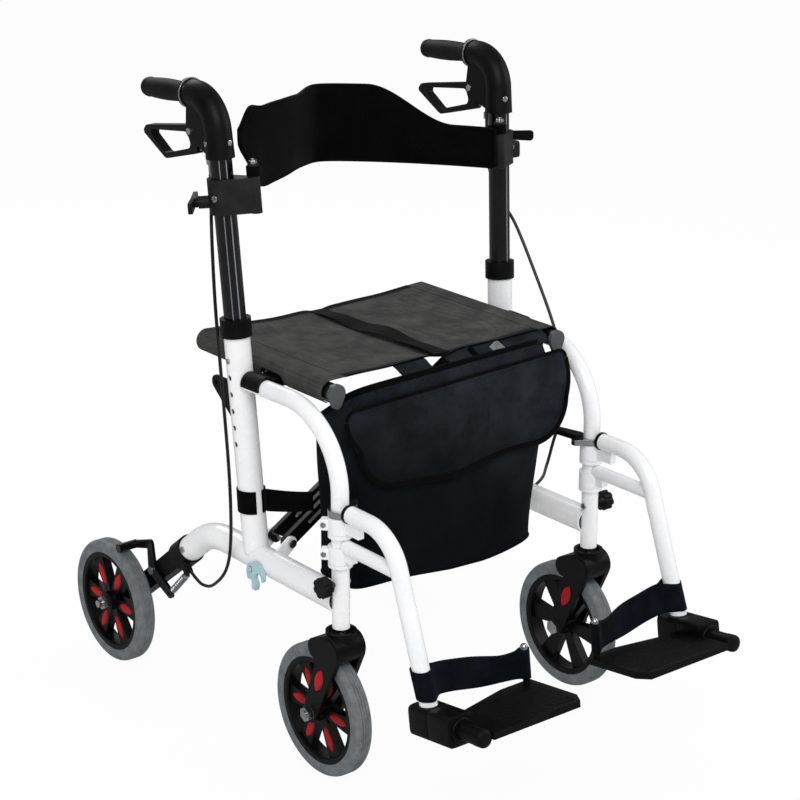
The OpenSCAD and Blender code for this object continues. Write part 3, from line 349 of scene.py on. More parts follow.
DULL = {"Specular IOR Level": 0.2}
GLOSS = {"Specular IOR Level": 0.4, "Coat Weight": 0.25, "Coat Roughness": 0.1}
CLOTH = {"Specular IOR Level": 0.06, "Sheen Weight": 0.02, "Sheen Roughness": 0.45}
BLACK = ("030304", "0a0a0c")
GRAIN = (0.00009, 0.0012)
ALONG_TUBE, CROSSWISE = (1, 1, 0.02), (1, 1, 0.3)
FINISHES = {
    "white_frame": (painted, ("e9ebed", "f7f7f8", 0.22), {"Coat Weight": 0.3, "Coat Roughness": 0.12}),
    "black_tube": (brushed, ("060607", "0d0d0e", 0.13, ALONG_TUBE), GLOSS),
    "handle_tube": (tube_with_painted_glints, ("040405", "0a0a0b", 0.12, ALONG_TUBE), GLOSS),
    "brace_bar": (bar_with_cap, ("070708", "0f0f10", 0.2, "4a4c4e"), GLOSS),
    "bright_metal": (brushed, ("b0b2b6", "dedfe2", 0.14, CROSSWISE), {"Metallic": 1.0}),
    "black_moulding": (moulded, (*BLACK, 0.36, *GRAIN), DULL),
    "frame_fitting": (fitted, (*BLACK, 0.34, *GRAIN, steel_fittings), DULL),
    "fork_moulding": (fitted, (*BLACK, 0.3, 0.00009, 0.0014, steel_fork), DULL),
    "socket_moulding": (fitted, (*BLACK, 0.34, *GRAIN, steel_socket), DULL),
    "housing_moulding": (fitted, ("040405", "0d0c0e", 0.34, *GRAIN, steel_housing), DULL),
    "lever_plastic": (moulded, ("080809", "101012", 0.26, 0.00005, 0.0012), DULL),
    "clamp_plastic": (moulded, ("161617", "282728", 0.36, 0.00008, 0.0012), DULL),
    "rim_plastic": (moulded, ("040406", "0b0b0e", 0.26, 0.00006, 0.0012), DULL),
    "tyre_grey": (rubber, ("585c5f", "7e8284", 0.46, 0.0022), {}),
    "grip_rubber": (moulded, ("0e0b0c", "1f1a1b", 0.46, 0.00016, 0.0008), DULL),
    "cable_sheath": (moulded, ("09090a", "121214", 0.2, 0.00003, 0.0004), {}),
    "seat_fabric": (woven, ("202122", "5e5e5c", 0.62, 0.0016, 0.0003), CLOTH),
    "bag_fabric": (bag_weave, ("030408", "323941", 0.6, 0.0013, 0.00024), CLOTH),
    "pad_cover": (woven, ("010101", "080807", 0.6, 0.0011, 0.00016), CLOTH),
    "hook_plastic": (moulded, ("9ec0cb", "bad6de", 0.24, 0.00004, 0.001), {}),
    "red_inlay": (moulded, ("8a0a12", "b8121c", 0.24, 0.00003, 0.0005), DULL),
    "tape": (webbing, ("010102", "07070a", 0.6), CLOTH),
    "navy_tape": (webbing, ("05060c", "131622", 0.55), CLOTH),
    "thread": (woven, ("0c0c0e", "222228", 0.5, 0.0006, 0.00008), CLOTH),
}
LOOKS = {name: finish(name, *parts) for name, parts in FINISHES.items()}

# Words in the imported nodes' names that give them a finish. The rest are black mouldings
NODE_WORDS = {
    "white_frame": ("lower_tube", "upright", "front_tube", "hanger_tube"),
    "bright_metal": ("rear_axle", "height_button", "cross_bolt"),
    "lever_plastic": ("brake_lever", "wing_screw", "frame_knob"),
    "tyre_grey": ("tyre",), "rim_plastic": ("rim",), "handle_tube": ("handle_tube",),
    "brace_bar": ("brace",), "grip_rubber": ("grip",), "clamp_plastic": ("backrest_clamp",),
    "black_tube": ("brake_arm",),
    "frame_fitting": ("frame_fittings",), "fork_moulding": ("fork",), "socket_moulding": ("rear_socket",),
    "housing_moulding": ("handle_housing",), "hook_plastic": ("stow_hook",)}

for node_name, node in nodes.items():
    found = [look for look, words in NODE_WORDS.items() if any(word in node_name for word in words)]
    for holder in node.material_slots:
        holder.material = LOOKS[found[0] if found else "black_moulding"]


# Making a mesh from grids of points

CREASE = np.radians(35)


def grid_mesh(name, grids, sign=1):
    """A mesh from grids of points in millimetres, mirrored by a sign of -1. Neighbours in a grid make quads,
    edges and poles that meet are welded, and faces are turned outwards. Its tape map holds metres along and
    across each grid."""
    points, faces, maps, start = [], [], [], 0
    for grid in grids:
        grid = mirrored(grid, sign)
        n, m = grid.shape[:2]
        index = start + np.arange(n * m).reshape(n, m)
        corners = (index[:-1, :-1], index[1:, :-1], index[1:, 1:], index[:-1, 1:])
        faces.append(np.stack(corners, -1).reshape(-1, 4))
        along = np.linalg.norm(np.diff(grid, axis=0, prepend=grid[:1]), axis=2).mean(1).cumsum()
        across = np.linalg.norm(np.diff(grid, axis=1, prepend=grid[:, :1]), axis=2).mean(0).cumsum()
        maps.append(np.stack(np.meshgrid(along, across, indexing="ij"), -1).reshape(-1, 2))
        points.append(grid.reshape(-1, 3))
        start += n * m
    points = np.concatenate(points) * MM
    faces = np.concatenate(faces)
    mesh = bpy.data.meshes.new(name)
    mesh.from_pydata(points.tolist(), [], faces.tolist())
    layer = mesh.uv_layers.new(name="tape")
    layer.data.foreach_set("uv", (np.concatenate(maps) * MM)[faces.ravel()].ravel())
    work = bmesh.new()
    work.from_mesh(mesh)
    bmesh.ops.remove_doubles(work, verts=work.verts, dist=1e-6)
    bmesh.ops.recalc_face_normals(work, faces=work.faces)
    work.to_mesh(mesh)
    work.free()
    return mesh


def dress(name, mesh, look, body, slot=None, thick=0.0, smooth_levels=0):
    """An object of a mesh with its finish, its wall and its smoothing, riding on a body if one is named. The
    slot argument is not used."""
    mesh.shade_smooth()
    mesh.set_sharp_from_angle(angle=CREASE)
    mesh.materials.append(LOOKS[look])
    piece = placed(name, mesh)
    if thick:
        wall = piece.modifiers.new("wall", "SOLIDIFY")
        wall.thickness = thick * MM
        wall.offset = 0
    if smooth_levels:
        rounding = piece.modifiers.new("rounding", "SUBSURF")
        rounding.levels = smooth_levels
        rounding.render_levels = smooth_levels
    if body:
        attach(piece, body)
    return piece


def build(name, grids, look, body, slot=None, sign=1, **form):
    """A dressed piece from grids of points."""
    return dress(name, grid_mesh(name, grids, sign), look, body, slot, **form)


def unit(v):
    """Vectors of length one."""
    return v / np.linalg.norm(v, axis=-1, keepdims=True)


def ease(t):
    """Smooth step from 0 to 1."""
    t = np.clip(t, 0, 1)
    return t * t * (3 - 2 * t)


def spow(v, power):
    """Power that keeps the sign."""
    return np.sign(v) * np.abs(v) ** power


def mirrored(grid, sign):
    """The grid on the left, or its mirror image on the right."""
    return np.asarray(grid, float) * (sign, 1, 1)


def turned_about(axis, angle):
    """Rotation about an axis by degrees."""
    return np.array(Matrix.Rotation(np.radians(angle), 3, axis))


LEG_X = 237
UPRIGHT_AXES = turned_about("Y", 1.8) @ turned_about("X", -3.9)
UPRIGHT_FOOT = (LEG_X, 31.5, 285)
FOOT_AXES, FOOT_HINGE = turned_about("X", -8), (235, -390, 181)


def on_upright(p):
    """Points of the upright's frame, z along it from the lower tube, in the chair's frame."""
    return np.asarray(p, float) @ UPRIGHT_AXES.T + UPRIGHT_FOOT


def upright_way(direction):
    """A direction of the upright's frame in the chair's frame."""
    return UPRIGHT_AXES @ np.asarray(direction, float)


def on_foot(p):
    """Points of the footplate's frame, -y to the toe, in the chair's frame."""
    return np.asarray(p, float) @ FOOT_AXES.T + FOOT_HINGE


def curve_through(points, steps):
    """Catmull-Rom curve: a cubic through each pair of points whose slope follows their neighbours."""
    p = np.asarray(points, float)
    padded = np.concatenate([p[:1], p, p[-1:]])
    a, b, c, d = (padded[k:len(p) - 1 + k, None] for k in range(4))
    t = (np.arange(steps) / steps)[None, :, None]
    cubic = 0.5 * (2 * b + (c - a) * t + (2 * a - 5 * b + 4 * c - d) * t ** 2
                   + (3 * b - a - 3 * c + d) * t ** 3)
    return np.concatenate([cubic.reshape(-1, 3), p[-1:]])


def tube(path, radius, sides=12, beside=(1, 0, 0)):
    """Round tube: a circle of points square to the path at each of its points. Radius may vary along it."""
    path = np.asarray(path, float)
    tangent = unit(np.gradient(path, axis=0))
    across = np.asarray(beside, float) - (tangent @ np.asarray(beside, float))[:, None] * tangent
    across = unit(across)
    up = np.cross(tangent, across)
    angle = np.linspace(0, TAU, sides + 1)[None, :, None]
    wide = np.broadcast_to(np.asarray(radius, float), path.shape[:1])[:, None, None]
    rings = path[:, None] + wide * (np.cos(angle) * across[:, None] + np.sin(angle) * up[:, None])
    return capped(rings, path)


def capped(rings, path):
    """Close a tube by drawing its first and last rings in to the path's ends."""
    first = np.broadcast_to(path[0], rings[:1].shape)
    last = np.broadcast_to(path[-1], rings[:1].shape)
    return np.concatenate([first, rings, last])


def band(path, first, second, wide, deep, power=0.6):
    """Tape or piping: an oval with squared shoulders, wide along the first direction and deep along the
    second, carried along a path. Power 1 makes a plain oval."""
    angle = np.linspace(0, TAU, 17)[None, :, None]
    rings = path[:, None] + wide * spow(np.cos(angle), power) * first[:, None]
    rings = rings + deep * spow(np.sin(angle), power) * second[:, None]
    return rings if np.allclose(path[0], path[-1]) else capped(rings, path)


def across_and_up(path, up):
    """For each point of a path: the direction square to the path and to up, and the one square to both."""
    tangent = unit(np.gradient(np.asarray(path, float), axis=0))
    across = unit(np.cross(tangent, up))
    return across, np.cross(across, tangent)


def run_of(path):
    """Distance along a path to each of its points."""
    return np.concatenate([[0], np.linalg.norm(np.diff(path, axis=0), axis=1).cumsum()])


def at_run(values, run, spots):
    """Values given for each point of a path, read at distances along it."""
    return np.stack([np.interp(spots, run, values[:, k]) for k in range(3)], -1)


def curve_even(path, count):
    """The same path with points at even distances."""
    run = run_of(path)
    return at_run(path, run, np.linspace(0, run[-1], count))


def grid(down, across):
    """Two lists of numbers as a grid of each."""
    return np.meshgrid(down, across, indexing="ij")


def basis(axis):
    """Two directions square to an axis, and the axis."""
    axis = unit(np.asarray(axis, float))
    helper = np.array([0, 0, 1.0]) if abs(axis[2]) < 0.9 else np.array([1.0, 0, 0])
    across = unit(np.cross(helper, axis))
    return np.stack([across, np.cross(axis, across), axis])


def turned(profile, at, axis, sides=40, hexagon=False):
    """Lathe form: radius and height pairs carried round an axis. A hexagon's radius follows its flats."""
    profile = np.asarray(profile, float)
    angle = np.linspace(0, TAU, sides + 1)
    flat = np.ones_like(angle)
    if hexagon:
        flat = np.cos(np.pi / 6) / np.cos((angle % (TAU / 6)) - np.pi / 6)
    radius = profile[:, :1] * flat
    local = np.stack([radius * np.cos(angle), radius * np.sin(angle),
                      np.broadcast_to(profile[:, 1:], radius.shape)], -1)
    return local @ basis(axis) + at


def screw_head(at, axis, r, h):
    """Pan head: a low dome over a polar grid, less a cross-shaped recess."""
    reach = np.concatenate([np.linspace(0, 1, 13), [1, 1]])[:, None]
    angle = np.linspace(0, TAU, 49)[None, :]
    x, y = reach * np.cos(angle), reach * np.sin(angle)
    height = h * np.sqrt(1 - 0.7 * reach ** 2) * np.ones_like(angle)
    arm = np.minimum(np.abs(x), np.abs(y))
    height = height - 0.5 * h * ((arm < 0.15) & (reach < 0.6))
    height[-2:] = np.array([[0.1 * h], [-0.8]])
    return np.stack([r * x, r * y, height], -1) @ basis(axis) + at


def soft_block(at, half, power=0.35, frame_axes=np.eye(3)):
    """Block with round edges: a sphere's two angles, each sine and cosine raised to a low power."""
    lat = np.linspace(-np.pi / 2, np.pi / 2, 25)[:, None]
    lon = np.linspace(0, TAU, 49)[None, :]
    shape = np.stack([spow(np.cos(lat), power) * spow(np.cos(lon), power),
                      spow(np.cos(lat), power) * spow(np.sin(lon), power),
                      spow(np.sin(lat), power) * np.ones_like(lon)], -1)
    return (shape * half) @ frame_axes + at


STITCH, STITCH_PITCH, STITCH_R = 3.4, 5.0, 0.45


def stitches(path, normal):
    """A row of sewn stitches: one small pillow for each pitch along a path, standing on the cloth."""
    run = run_of(path)
    spots = np.arange(STITCH_PITCH / 2, run[-1], STITCH_PITCH)
    at = at_run(path, run, spots)
    along = unit(at_run(path, run, spots + 0.5) - at_run(path, run, spots - 0.5))
    up = np.broadcast_to(unit(np.array(normal, float)), at.shape)
    side = np.cross(up, along)
    lat = np.linspace(-1, 1, 6)[:, None]
    lon = np.linspace(0, TAU, 7)[None, :]
    belly = STITCH_R * np.sqrt(1 - lat ** 4)
    parts = (lat * STITCH / 2 * np.ones_like(lon), belly * np.cos(lon), belly * np.sin(lon))
    axes = (along, side, up)
    pillows = sum(part[None, :, :, None] * axis[:, None, None] for part, axis in zip(parts, axes))
    return list(pillows + at[:, None, None])


# Brake cables: black sheath over a wire, from the lever housing to the stop on the rear socket

CABLE_R = 2.5
CABLE_START = (254.5, 97, 846)
CABLE_END = (253, 189, 211)
CABLE_ROUTES = {
    "right": [CABLE_START, (256, 98, 800), (264, 86, 740), (267, 77, 650), (265, 67, 522), (264, 58, 401),
              (264, 59, 307), (264, 74, 254), (262, 113, 216), (256, 150, 202), (253, 174, 204), CABLE_END],
    "left": [CABLE_START, (256, 98, 800), (266, 84, 745), (271, 46, 702), (273, 0, 632), (270, -46, 564),
             (256, -92, 500), (240, -108, 450), (237, -90, 393), (242, -70, 345), (263, -30, 300),
             (267, 40, 245), (262, 116, 208), (255, 164, 202), CABLE_END]}

for side, sign in SIDES:
    route = mirrored(curve_through(CABLE_ROUTES[side], 8), sign)
    sheath = build(f"{side}_cable_sheath", [tube(route, CABLE_R)], "cable_sheath", None)
    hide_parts(f"{side}_brake_cable")
    run = np.linalg.norm(np.diff(route, axis=0), axis=1).sum() * MM
    route[0] * MM
    route * MM
    route[4] * MM
    route[48] * MM
    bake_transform(sheath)

# Seat sling: cloth that wraps both rails and sags between them

RAIL_X, RAIL_Z, RAIL_R = 205, 570, 12.5
SLING_Y = (-111, 200)
SLING_TOP = RAIL_Z + RAIL_R + 2.6
SLEEVE_U = 1.25 * RAIL_X
SLING_SAG = 9


def sling_height(x, y):
    """Sag that is deepest half way between the rails, less at the bound ends, with a fold down the middle,
    and shallow ripples that run from the strap to the rails."""
    v = (y - SLING_Y[0]) / (SLING_Y[1] - SLING_Y[0])
    hold = 1 - np.where(v < 0.5, 1, 0.25) * np.abs(2 * v - 1) ** 6
    span = 1 - (x / RAIL_X) ** 2
    fold = 4.5 * np.exp(-x * x / 260)
    ripple = 1.1 * np.sin(x * 0.045 + 2.2 * v) * np.sin(9 * v + 0.012 * x) * span
    return SLING_TOP + 1.2 - SLING_SAG * hold * span - fold + ripple


def sling_sheet(u, y):
    """Path across the seat: round the right rail, over to the left rail and round that. u is in millimetres
    from the middle. The sleeves are cut short where the frame's saddles hold the rails."""
    r = SLING_TOP + 1.2 - RAIL_Z
    notch = ease((y + 24) / 10) * (1 - ease((y - 32) / 10))
    reach = np.radians(160 - 78 * notch)
    over = np.clip((np.abs(u) - RAIL_X) / (SLEEVE_U - RAIL_X), 0, 1) * reach
    x = np.sign(u) * (np.minimum(np.abs(u), RAIL_X) + r * np.sin(over))
    z = np.where(over > 0, RAIL_Z + r * np.cos(over), sling_height(x, y))
    return np.stack([x, y * np.ones_like(x), z], -1)


across = np.linspace(-SLEEVE_U, SLEEVE_U, 161)
seat = sling_sheet(*grid(across, np.linspace(*SLING_Y, 73)))
sling = build("seat_cloth", [seat], "seat_fabric", None, thick=1.6)
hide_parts("seat_sling")
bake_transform(sling)

trim = []
for y0, y1 in ((SLING_Y[0] - 0.6, SLING_Y[0] + 11), (SLING_Y[1] - 11, SLING_Y[1] + 0.6)):
    edge = sling_sheet(*grid(across, np.linspace(y0, y1, 5)))
    upper, lower = edge + (0, 0, 1.1), edge - (0, 0, 1.1)
    trim.append(np.concatenate([upper, lower[:, ::-1], upper[:, :1]], 1)[24:-24])
binding = build("seat_binding", trim, "tape", None, "seat_fabric")
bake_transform(binding)

y = np.linspace(SLING_Y[0] + 4, SLING_Y[1] - 2, 80)[:, None]
v = (y - SLING_Y[0]) / (SLING_Y[1] - SLING_Y[0])
w = np.linspace(-1, 1, 9)[None, :]
drift = 5 * np.sin(5.2 * v + 0.4)
lift = 7 * np.sin(np.pi * v) ** 0.7 + 2.2 * np.sin(17 * v) * np.sin(np.pi * v) + 1.6
strap_x = drift + 15 * w * (1 - 0.1 * np.sin(9 * v))
strap_z = sling_height(drift, y) + lift - 2.4 * w * np.sin(7 * v + 0.6) * np.sin(np.pi * v) + 1.2
strap = np.stack([strap_x, y * np.ones_like(w), strap_z], -1)
lifting = build("seat_strap", [strap], "tape", None, "bag_fabric", thick=1.5, smooth_levels=1)
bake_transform(lifting)

# Bag under the seat: an open shell with a floor, tabs up to the seat, and a bound top edge

BAG_MIDDLE_Y, BAG_HALF_X, BAG_HALF_Y = -88, 188, 51.5
BAG_TOP, BAG_LOW, BAG_SHIFT = 540.5, 268, -12


def bag_lean(x):
    """How far the top of the front leans back to the seat's edge, more on the left."""
    return 7.7 + 0.028 * x


def bag_wall(turn, fall):
    """Skin of the bag. The turn goes round a rectangle with round corners, cosine and sine raised to a low
    power, and the fall runs from the top edge to the bottom. The plan narrows and shifts on the way down,
    the lower front bellies out, and slow waves of folds run down the cloth."""
    c, s = np.cos(turn), np.sin(turn)
    narrow = ease((fall - 0.15) / 0.85)
    side = spow(s, 0.3)
    flank = spow(c, 0.3)
    hang = np.sin(np.pi * np.clip(fall, 0, 1)) ** 0.7
    x = flank * (BAG_HALF_X - 18 * narrow) + BAG_SHIFT * narrow
    top = BAG_TOP - 36.5 * side + 0.01 * x
    bottom = BAG_LOW - 7 * np.cos((x - 40) / 55)
    z = top + (bottom - top) * fall
    folds = 1.7 * np.sin(0.048 * x + 2.6 * fall) + 1.1 * np.sin(0.1 * x - 4 * fall + 1)
    belly = 6 * ease((fall - 0.5) / 0.25) * (1 - 0.6 * ease((fall - 0.85) / 0.15)) * (1 - flank ** 6)
    lean = bag_lean(x) * (1 - ease(fall / 0.09)) * ease(-side)
    y = BAG_MIDDLE_Y + side * (BAG_HALF_Y + 0.8 * hang * folds + belly) + lean
    x = x + flank * hang * 2.2 * np.sin(0.1 * y + 5 * fall) * (1 - side ** 6)
    return np.stack([x, y, z], -1)


turn = np.linspace(0, TAU, 181)[:, None]
fall = np.linspace(0, 1, 57)[None, :]
rim_edge = bag_wall(turn, np.ones((1, 1)))
shrink = np.linspace(1, 0, 15)[None, :, None]
floor_mid = np.array([BAG_SHIFT, BAG_MIDDLE_Y, BAG_LOW - 4])
bag_floor = floor_mid + (rim_edge - floor_mid) * shrink - (1 - shrink ** 2) * (0, 0, 5)
tabs = []
for x0, x1 in ((-92, -36), (-2, 40), (52, 80), (105, 188)):
    w = np.linspace(x0, x1, 13)[:, None]
    t = np.linspace(0, 1, 11)[None, :]
    low_z = 576.5 + 0.01 * w
    high_z = sling_height(w, SLING_Y[0]) - 2.6
    front_y = BAG_MIDDLE_Y - BAG_HALF_Y + 1 + bag_lean(w)
    tab_y = front_y + (SLING_Y[0] + 3 - front_y) * t
    tab_z = low_z - 8 * (1 - ease(t / 0.2)) + (high_z - low_z) * ease(t * 1.1) - 1.2 * np.sin(np.pi * t)
    tabs.append(np.stack([w + 0 * t, tab_y + 0 * w, tab_z], -1))
bag = build("bag_shell", [bag_wall(turn, fall), bag_floor] + tabs, "bag_fabric", "left_frame", thick=1.6)
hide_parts("bag")

plan_out = (spow(np.cos(turn), 1.7) / BAG_HALF_X, spow(np.sin(turn), 1.7) / 52, 0 * turn)
plan_out = unit(np.concatenate(plan_out, 1))
upward = np.broadcast_to((0.0, 0.0, 1.0), plan_out.shape)
hem = band(bag_wall(turn, np.full((1, 1), 0.014))[:, 0], plan_out, upward, 1.9, 5.5)
piping = band(rim_edge[:, 0] - (0, 0, 1), plan_out, upward, 2.2, 2.2, 1.0)
bag_trim = build("bag_binding", [hem, piping], "tape", "left_frame", "bag_fabric")
for piece in (bag, bag_trim):
    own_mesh(piece)

# Flap over the front of the bag

FLAP_HALF, FLAP_DROP, FLAP_ROUND = 204, 150, 65
FLAP_SEAM, FLAP_Y, FLAP_SHOULDER = 555, -146.2, 14


def flap_cloth(u, v):
    """Cloth of the flap, u across from -1 to 1 and v down from the seam. Lower corners are quarter circles,
    the lower edge waves, and the cloth stands off the bag in a shallow swell with ripples that grow
    downwards."""
    x = FLAP_HALF * u
    corner = np.clip((np.abs(x) - FLAP_HALF + FLAP_ROUND) / FLAP_ROUND, 0, 1)
    shoulder = np.clip((np.abs(x) - FLAP_HALF + FLAP_SHOULDER) / FLAP_SHOULDER, 0, 1)
    seam = FLAP_SEAM + 0.036 * x
    top = seam - FLAP_SHOULDER * (1 - np.sqrt(1 - shoulder ** 2))
    low = seam - FLAP_DROP + FLAP_ROUND * (1 - np.sqrt(1 - corner ** 2)) + 12 + 6 * np.sin((x - 20) / 50)
    low = low + 10 * ease((10 - x) / 90)
    z = top + (low - top) * v
    ripple = 2.2 * v * np.sin(x / 36 + 2.5 * v) + 1.3 * np.sin(np.pi * v) * np.sin(x / 19 - 4 * v + 0.8)
    swell = 10 * np.sin(np.pi * np.minimum(1.1 * v, 1)) ** 0.8 * (1 - u ** 4) + 3.5 * v * v
    y = FLAP_Y - swell - ripple * (1 - 0.7 * u ** 6)
    return np.stack([x + 6 * np.sin(np.pi * v) * u ** 5 + 22 * ease(-u) * v, y, z], -1)


cloth = flap_cloth(*grid(np.sin(np.linspace(-np.pi / 2, np.pi / 2, 141)), np.linspace(0, 1, 61)))
flap = build("flap_cloth", [cloth], "bag_fabric", "bag_flap", thick=1.8)
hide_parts("bag_flap")

outline = np.concatenate([cloth[0, 2:-1], cloth[:, -1], cloth[-1, -2:1:-1]])
outline = curve_even(outline, 260)
ahead = unit(np.gradient(outline, axis=0))
outward = unit(np.cross(ahead, (0, 1, 0)))
depth_way = np.broadcast_to((0.0, 1.0, 0.0), outward.shape)
flap_edge = band(outline, outward, depth_way, 4.6, 1.9)
seam_line = cloth[2:-2, 0]
seam_roll = band(seam_line + (0, -0.4, -1), *across_and_up(seam_line, (0, 0, 1)), 3.2, 2.6, 1.0)
flap_trim = build("flap_binding", [flap_edge, seam_roll], "tape", "bag_flap", "bag_fabric")
sewing = []
for x in (11, 43):
    row = flap_cloth(np.full(40, x / FLAP_HALF), np.linspace(0.34, 0.72, 40))
    sewing += stitches(row - (0, 1.2, 0), (0, -1, 0))
row = flap_cloth(np.linspace(-0.93, 0.93, 120), np.full(120, 0.055))
sewing += stitches(row - (0, 1.2, 0), (0, -1, 0))
sewing += stitches((outline + 7.5 * outward)[12:-12] - (0, 1.3, 0), (0, -1, 0))
flap_sewing = build("flap_sewing", sewing, "thread", "bag_flap", "bag_fabric")
for piece in (flap, flap_trim, flap_sewing):
    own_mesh(piece)

# Backrest pad: a V in plan between the two handle clamps, tall in the middle

PAD_HALF, PAD_END_Y, PAD_END_Z, PAD_DEPTH, PAD_APEX = 215.4, 28.7, 800.8, 168, 18
PAD_TALL, WING_FROM, EAR_FROM, PIPING_INSET = 118, 90, 150, 2.6
PAD_BOW = PAD_DEPTH / (np.hypot(PAD_HALF, PAD_APEX) - PAD_APEX)


def pad_line(x):
    """Middle line of the pad: depth from a hyperbola, which is a V with a round point, then the lower edge
    and the height. The right wing stays tall almost to its end, is pulled up and bows out behind."""
    root = np.sqrt(x * x + PAD_APEX ** 2)
    u = np.clip((-x - WING_FROM) / (PAD_HALF - WING_FROM), 0, None)
    y = PAD_END_Y + PAD_DEPTH - PAD_BOW * (root - PAD_APEX) + 135 * u * u - 109 * u ** 3
    slope = -PAD_BOW * x / root - (270 * u - 327 * u * u) / (PAD_HALF - WING_FROM)
    near_end = ease((30 - PAD_HALF - x) / 30)
    tall_left = PAD_TALL - 56 * ease((x - 65) / 100)
    tall_right = PAD_TALL - 8 * ease(-x / 60) + 6 * ease((-x - 60) / 100) - 34 * near_end
    tall = np.where(x > 0, tall_left, tall_right)
    low = PAD_END_Z + 11 * (1 - (x / PAD_HALF) ** 2) + 12 * ease(-x / 110) + 16 * ease((-x - 160) / 58)
    normal = unit(np.stack([slope, -np.ones_like(x), 0 * x], -1))
    return np.stack([x + 3 * u ** 3, y, low], -1), tall, normal


def pad_ear(x, share):
    """Shift of the right wing's end, whose upper part curls back past the hinge barrel."""
    u = np.clip((-x - EAR_FROM) / (PAD_HALF - EAR_FROM), 0, None)
    curl = u * u * ease((share - 0.25) / 0.5)
    return np.stack([-8 * curl, 22 * curl, 0 * curl], -1)


def pad_skin(x, a, swell):
    """Closed skin of the pad: at each x an oval with flat faces, square to the middle line."""
    line, tall, normal = pad_line(x)
    thick = swell * (0.66 + 0.34 * ease((PAD_HALF - np.abs(x)) / 60))
    upright_end = ease((PAD_HALF - np.abs(x)) / 30)[..., None] * (1, 0, 0) + (0, 1, 1)
    out = (thick * spow(np.cos(a), 0.5))[..., None] * normal * upright_end
    share = (1 + spow(np.sin(a), 0.55)) / 2
    return line + out + (tall * share)[..., None] * (0, 0, 1) + pad_ear(x, share)


PUFF_STEPS = 20
PUFF_RULES = {"quality": 6, "mass": 0.3, "use_pressure": True, "uniform_pressure_force": 4,
              "tension_stiffness": 12, "compression_stiffness": 12, "shear_stiffness": 6,
              "bending_stiffness": 0.6, "vertex_group_mass": "held"}


def puff(source, held, rise):
    """Blow up a closed mesh as cloth under pressure from inside, then cap how far each point has moved. held
    gives 1 where the points stay. The mesh is remeshed to 5 mm first."""
    scene = bpy.context.scene
    work = placed("pad_work", source)
    net = work.modifiers.new("net", "REMESH")
    net.mode = "VOXEL"
    net.voxel_size = 0.005
    fine = bpy.data.meshes.new_from_object(work.evaluated_get(bpy.context.evaluated_depsgraph_get()))
    work.modifiers.clear()
    work.data = fine
    before = np.empty(len(fine.vertices) * 3)
    fine.vertices.foreach_get("co", before)
    before = before.reshape(-1, 3)
    stay = held(before * 1000)
    group = work.vertex_groups.new(name="held")
    for weight in (0.3, 1.0):
        chosen = np.flatnonzero(np.abs(stay - weight) < 0.01)
        group.add(chosen.tolist(), weight, "REPLACE")
    cloth_mod = work.modifiers.new("cloth", "CLOTH")
    rules = cloth_mod.settings
    for key, value in PUFF_RULES.items():
        setattr(rules, key, value)
    rules.effector_weights.gravity = 0
    cloth_mod.point_cache.frame_start = 1
    cloth_mod.point_cache.frame_end = PUFF_STEPS
    for step in range(1, PUFF_STEPS + 1):
        scene.frame_set(step)
        after_object = work.evaluated_get(bpy.context.evaluated_depsgraph_get())
    swollen = bpy.data.meshes.new_from_object(after_object)
    after = np.empty(len(swollen.vertices) * 3)
    swollen.vertices.foreach_get("co", after)
    move = after.reshape(-1, 3) - before
    far = np.linalg.norm(move, axis=1, keepdims=True)
    move *= np.minimum(1, rise / np.maximum(far, 1e-9))
    swollen.vertices.foreach_set("co", (before + move).ravel())
    scene.frame_set(1)
    bpy.data.objects.remove(work)
    return swollen


def pad_held(points):
    """1 along the bound edge and at the two ends, 0.3 where the V bends, 0 on the faces."""
    line, tall, normal = pad_line(points[:, 0])
    share = (points[:, 2] - line[:, 2]) / tall
    edge = (share < 0.05) | (share > 0.95) | (np.abs(points[:, 0]) > PAD_HALF - 9)
    return np.where(edge, 1.0, np.where(np.abs(points[:, 0]) < 8, 0.3, 0.0))


swell = 6.5
skin = pad_skin(*grid(np.linspace(-PAD_HALF, PAD_HALF, 121), np.linspace(0, TAU, 49)), swell)
skin_ends = [np.stack([skin[k], np.broadcast_to(skin[k].mean(0), skin[k].shape)]) for k in (0, -1)]
cover = grid_mesh("backrest_pad_cover", [skin] + skin_ends)
cover = puff(cover, pad_held, 0.005)
pad = dress("backrest_pad_cover", cover, "pad_cover", "left_handle", smooth_levels=1)
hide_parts("backrest_pad")

spread = np.linspace(-PAD_HALF + 3, PAD_HALF - 3, 110)
line, tall, normal = pad_line(spread)
upper = line + (tall - PIPING_INSET)[:, None] * (0, 0, 1) + pad_ear(spread, np.ones(110))
steps = np.linspace(0.1, 0.9, 9)
near_edge = line[0] + np.outer(steps * tall[0], (0, 0, 1)) + pad_ear(np.full(9, spread[0]), steps)
line = line + (0, 0, PIPING_INSET)
loop = np.concatenate([line, upper[::-1], near_edge[::-1], line[:1]])
loop_out = np.concatenate([normal, normal[::-1], np.broadcast_to(normal[0], (9, 3)), normal[:1]])
loop_side = unit(np.cross(unit(np.gradient(loop, axis=0)), loop_out))
piping = band(loop, loop_out, loop_side, 4.4, 3.0, 0.8)
pad_trim = build("backrest_piping", [piping], "tape", "left_handle", "pad_cover")
for piece in (pad, pad_trim):
    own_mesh(piece)

# Loops of tape that hold the pad to the clamps' hinge barrels

